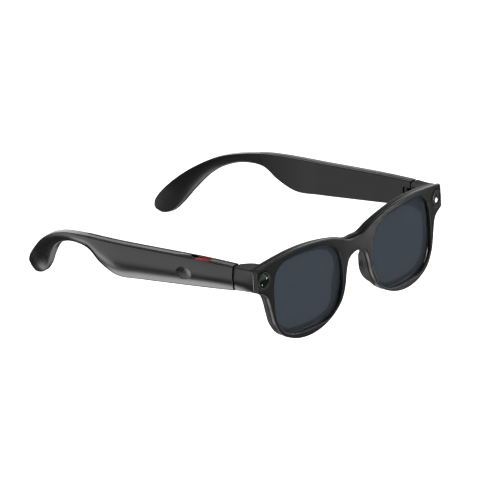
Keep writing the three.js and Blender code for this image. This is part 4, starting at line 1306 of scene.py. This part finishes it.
# %% Charging contacts
for label in ("front", "rear"):
    low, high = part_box(f"right_charging_contact_{label}")
    centre = TO_ROW.inverted() @ ((low + high) / 2)
    pin = lathe([(0, 0.22, 0), (0.45, 0.16, 0.1), (0.75, 0.0, 0.1), (1.3, 0.0, 0.12),
                 (1.3, COVER, 0.08), (0, COVER, 0)], 48)
    pin.transform(Matrix.Translation((-INNER, centre.y, centre.z))
                  @ Matrix.Rotation(math.radians(90), 4, "Z"))
    finish_piece(f"charging_pin_{label}", pin, gold_plate, "right_temple",
                 [f"right_charging_contact_{label}"])

# %% [markdown]
# ## Camera
# The camera stands six metres away with a long lens. That keeps the two temples nearly parallel,
# as in a catalogue picture. It looks a little down and from the wearer's right. Only a small sideways
# shift of the aim centres the glasses.

# %% Camera
scene = bpy.context.scene
AZIMUTH = math.radians(-52.9)
ELEVATION = math.radians(21.0)
DISTANCE = 6.063
back = Vector((math.sin(AZIMUTH) * math.cos(ELEVATION),
               -math.cos(AZIMUTH) * math.cos(ELEVATION), math.sin(ELEVATION)))
turn = (-back).to_track_quat("-Z", "Y")
right = turn @ Vector((1, 0, 0))
up = turn @ Vector((0, 1, 0))
AIM = TO_ROW @ Vector((0, 0, 0)) + Vector((0, 0.078, -0.022))
camera_data = bpy.data.cameras.new("camera")
camera_data.sensor_width = 36
camera_data.lens = 959
camera_data.clip_end = 100
camera = bpy.data.objects.new("camera", camera_data)
camera.location = AIM + right * 0.00974 - up * 0.00143 + back * DISTANCE
camera.rotation_mode = "QUATERNION"
camera.rotation_quaternion = turn
scene.collection.objects.link(camera)
scene.camera = camera

# %% [markdown]
# ## Floor
# The floor is white paper that glows a little, like a light table, so that it stays pure white and
# the shadows under the rims stay faint. Glossy rays pass it by, so the dark plastic mirrors the
# studio round it and not the paper.

# %% Floor
bpy.ops.mesh.primitive_circle_add(vertices=96, radius=12, fill_type="NGON")
floor = bpy.context.object
floor.name = "studio_floor"
floor.visible_glossy = False
paper, tree, surface = shader("white_paper")
surface.inputs["Base Color"].default_value = (0.35, 0.35, 0.35, 1)
surface.inputs["Emission Color"].default_value = (1, 1, 1, 1)
surface.inputs["Emission Strength"].default_value = 1.5
surface.inputs["Roughness"].default_value = 0.9
surface.inputs["Specular IOR Level"].default_value = 0.0
floor.data.materials.append(paper)

# %% [markdown]
# ## Studio light
# Black gloss has no look of its own: it shows what it mirrors. The studio is therefore a sky of
# soft bands. Faces that lean upwards mirror the pale band at eye height, upright faces mirror
# the dark band under it, and the lower curve of the near temple mirrors a bright card low on the left.
# Small lamps add the fine highlights. Each one stands where a face with a known normal throws
# it into the camera, which is quicker than moving lamps by trial.

# %% Sky bands
world = bpy.data.worlds.new("studio")
scene.world = world
world.use_nodes = True
tree = world.node_tree
tree.nodes.clear()
place = add(tree, "ShaderNodeTexCoord")
split = add(tree, "ShaderNodeSeparateXYZ", {"Vector": place.outputs["Generated"]})
# On the right the bands stand a little higher, which keeps the front plate dark.
shift = add(tree, "ShaderNodeMapRange", {"Value": split.outputs["X"]})
for key, value in (("From Min", -0.1), ("From Max", 0.4), ("To Max", -0.16)):
    shift.inputs[key].default_value = value
shifted = add(tree, "ShaderNodeMath", {0: split.outputs["Z"], 1: shift.outputs["Result"]},
              operation="ADD")
height = add(tree, "ShaderNodeMapRange", {"Value": shifted.outputs["Value"]})
height.inputs["From Min"].default_value = -1
ramp = add(tree, "ShaderNodeValToRGB", {"Fac": height.outputs["Result"]})
bands = [(-1, 1.2), (-0.93, 1.2), (-0.85, 0.06), (-0.42, 0.06), (-0.37, 0.5), (-0.29, 1.6),
         (0.1, 1.6), (0.17, 0.22), (0.66, 0.22), (0.78, 1.5), (1, 1.5)]
TOP = 5.0
for k, (z, value) in enumerate(bands):
    if k < 2:
        stop = ramp.color_ramp.elements[k]
        stop.position = (z + 1) / 2
    else:
        stop = ramp.color_ramp.elements.new((z + 1) / 2)
    stop.color = (value / TOP, value / TOP, value / TOP, 1)


def fade(source, start, end, low=0.0, high=1.0):
    """A soft step along one direction: `low` up to `start`, `high` from `end` on."""
    step = add(tree, "ShaderNodeMapRange", {"Value": source})
    for key, value in (("From Min", start), ("From Max", end), ("To Min", low), ("To Max", high)):
        step.inputs[key].default_value = value
    return step.outputs["Result"]


def times(one, two):
    return add(tree, "ShaderNodeMath", {0: one, 1: two}, operation="MULTIPLY").outputs["Value"]


def plus(one, two):
    return add(tree, "ShaderNodeMath", {0: one, 1: two}, operation="ADD").outputs["Value"]


side_axis = split.outputs["X"]
up_axis = split.outputs["Z"]
# A black flag far out on the left darkens one half of the touch area.
flag = fade(side_axis, -0.92, -0.85, 0.35, 1.0)
flagged = add(tree, "ShaderNodeVectorMath", {"Vector": ramp.outputs["Color"], "Scale": flag},
              operation="SCALE")
# A bright card low on the left makes the pale band along the lower curve of the near temple.
low_card = times(fade(up_axis, -0.57, -0.65, 0.0, 1.1), fade(side_axis, -0.2, -0.32))
# A second, smaller card behind it lights the other half of the touch area.
back_card = times(times(fade(up_axis, -0.56, -0.5, 0.0, 0.75), fade(up_axis, -0.3, -0.38)),
                  times(fade(side_axis, -0.64, -0.58), fade(side_axis, -0.3, -0.38)))
cards = plus(low_card, back_card)
total = add(tree, "ShaderNodeVectorMath", operation="ADD")
tree.links.new(flagged.outputs["Vector"], total.inputs[0])
tree.links.new(cards, total.inputs[1])
sky = add(tree, "ShaderNodeBackground", {"Color": total.outputs["Vector"]}, Strength=TOP)
out = add(tree, "ShaderNodeOutputWorld", {"Surface": sky.outputs["Background"]})

# %% Highlight lamps
def highlight(name, facing, wide, tall, radiance, away=4.0):
    """A lamp that a face with the normal `facing` mirrors into the camera."""
    normal = Vector(facing).normalized()
    mirror = 2 * normal.dot(back) * normal - back
    data = bpy.data.lights.new(name, "AREA")
    data.shape = "RECTANGLE"
    data.size = wide
    data.size_y = tall
    data.energy = radiance * math.pi * wide * tall
    lamp = bpy.data.objects.new(name, data)
    lamp.location = AIM + mirror * away
    lamp.rotation_mode = "QUATERNION"
    lamp.rotation_quaternion = mirror.to_track_quat("Z", "Y")
    lamp.visible_camera = False
    scene.collection.objects.link(lamp)
    return lamp


highlight("plate_side_highlight", (-0.85, -0.53, 0), 1.4, 2.0, 7)
highlight("brow_highlight", (0, -0.8, 0.6), 4.0, 0.35, 12)
highlight("window_highlight_high", (0.03, -0.99, 0.12), 0.12, 0.35, 50)
highlight("window_highlight_low", (-0.22, -0.97, -0.08), 0.12, 0.35, 50)
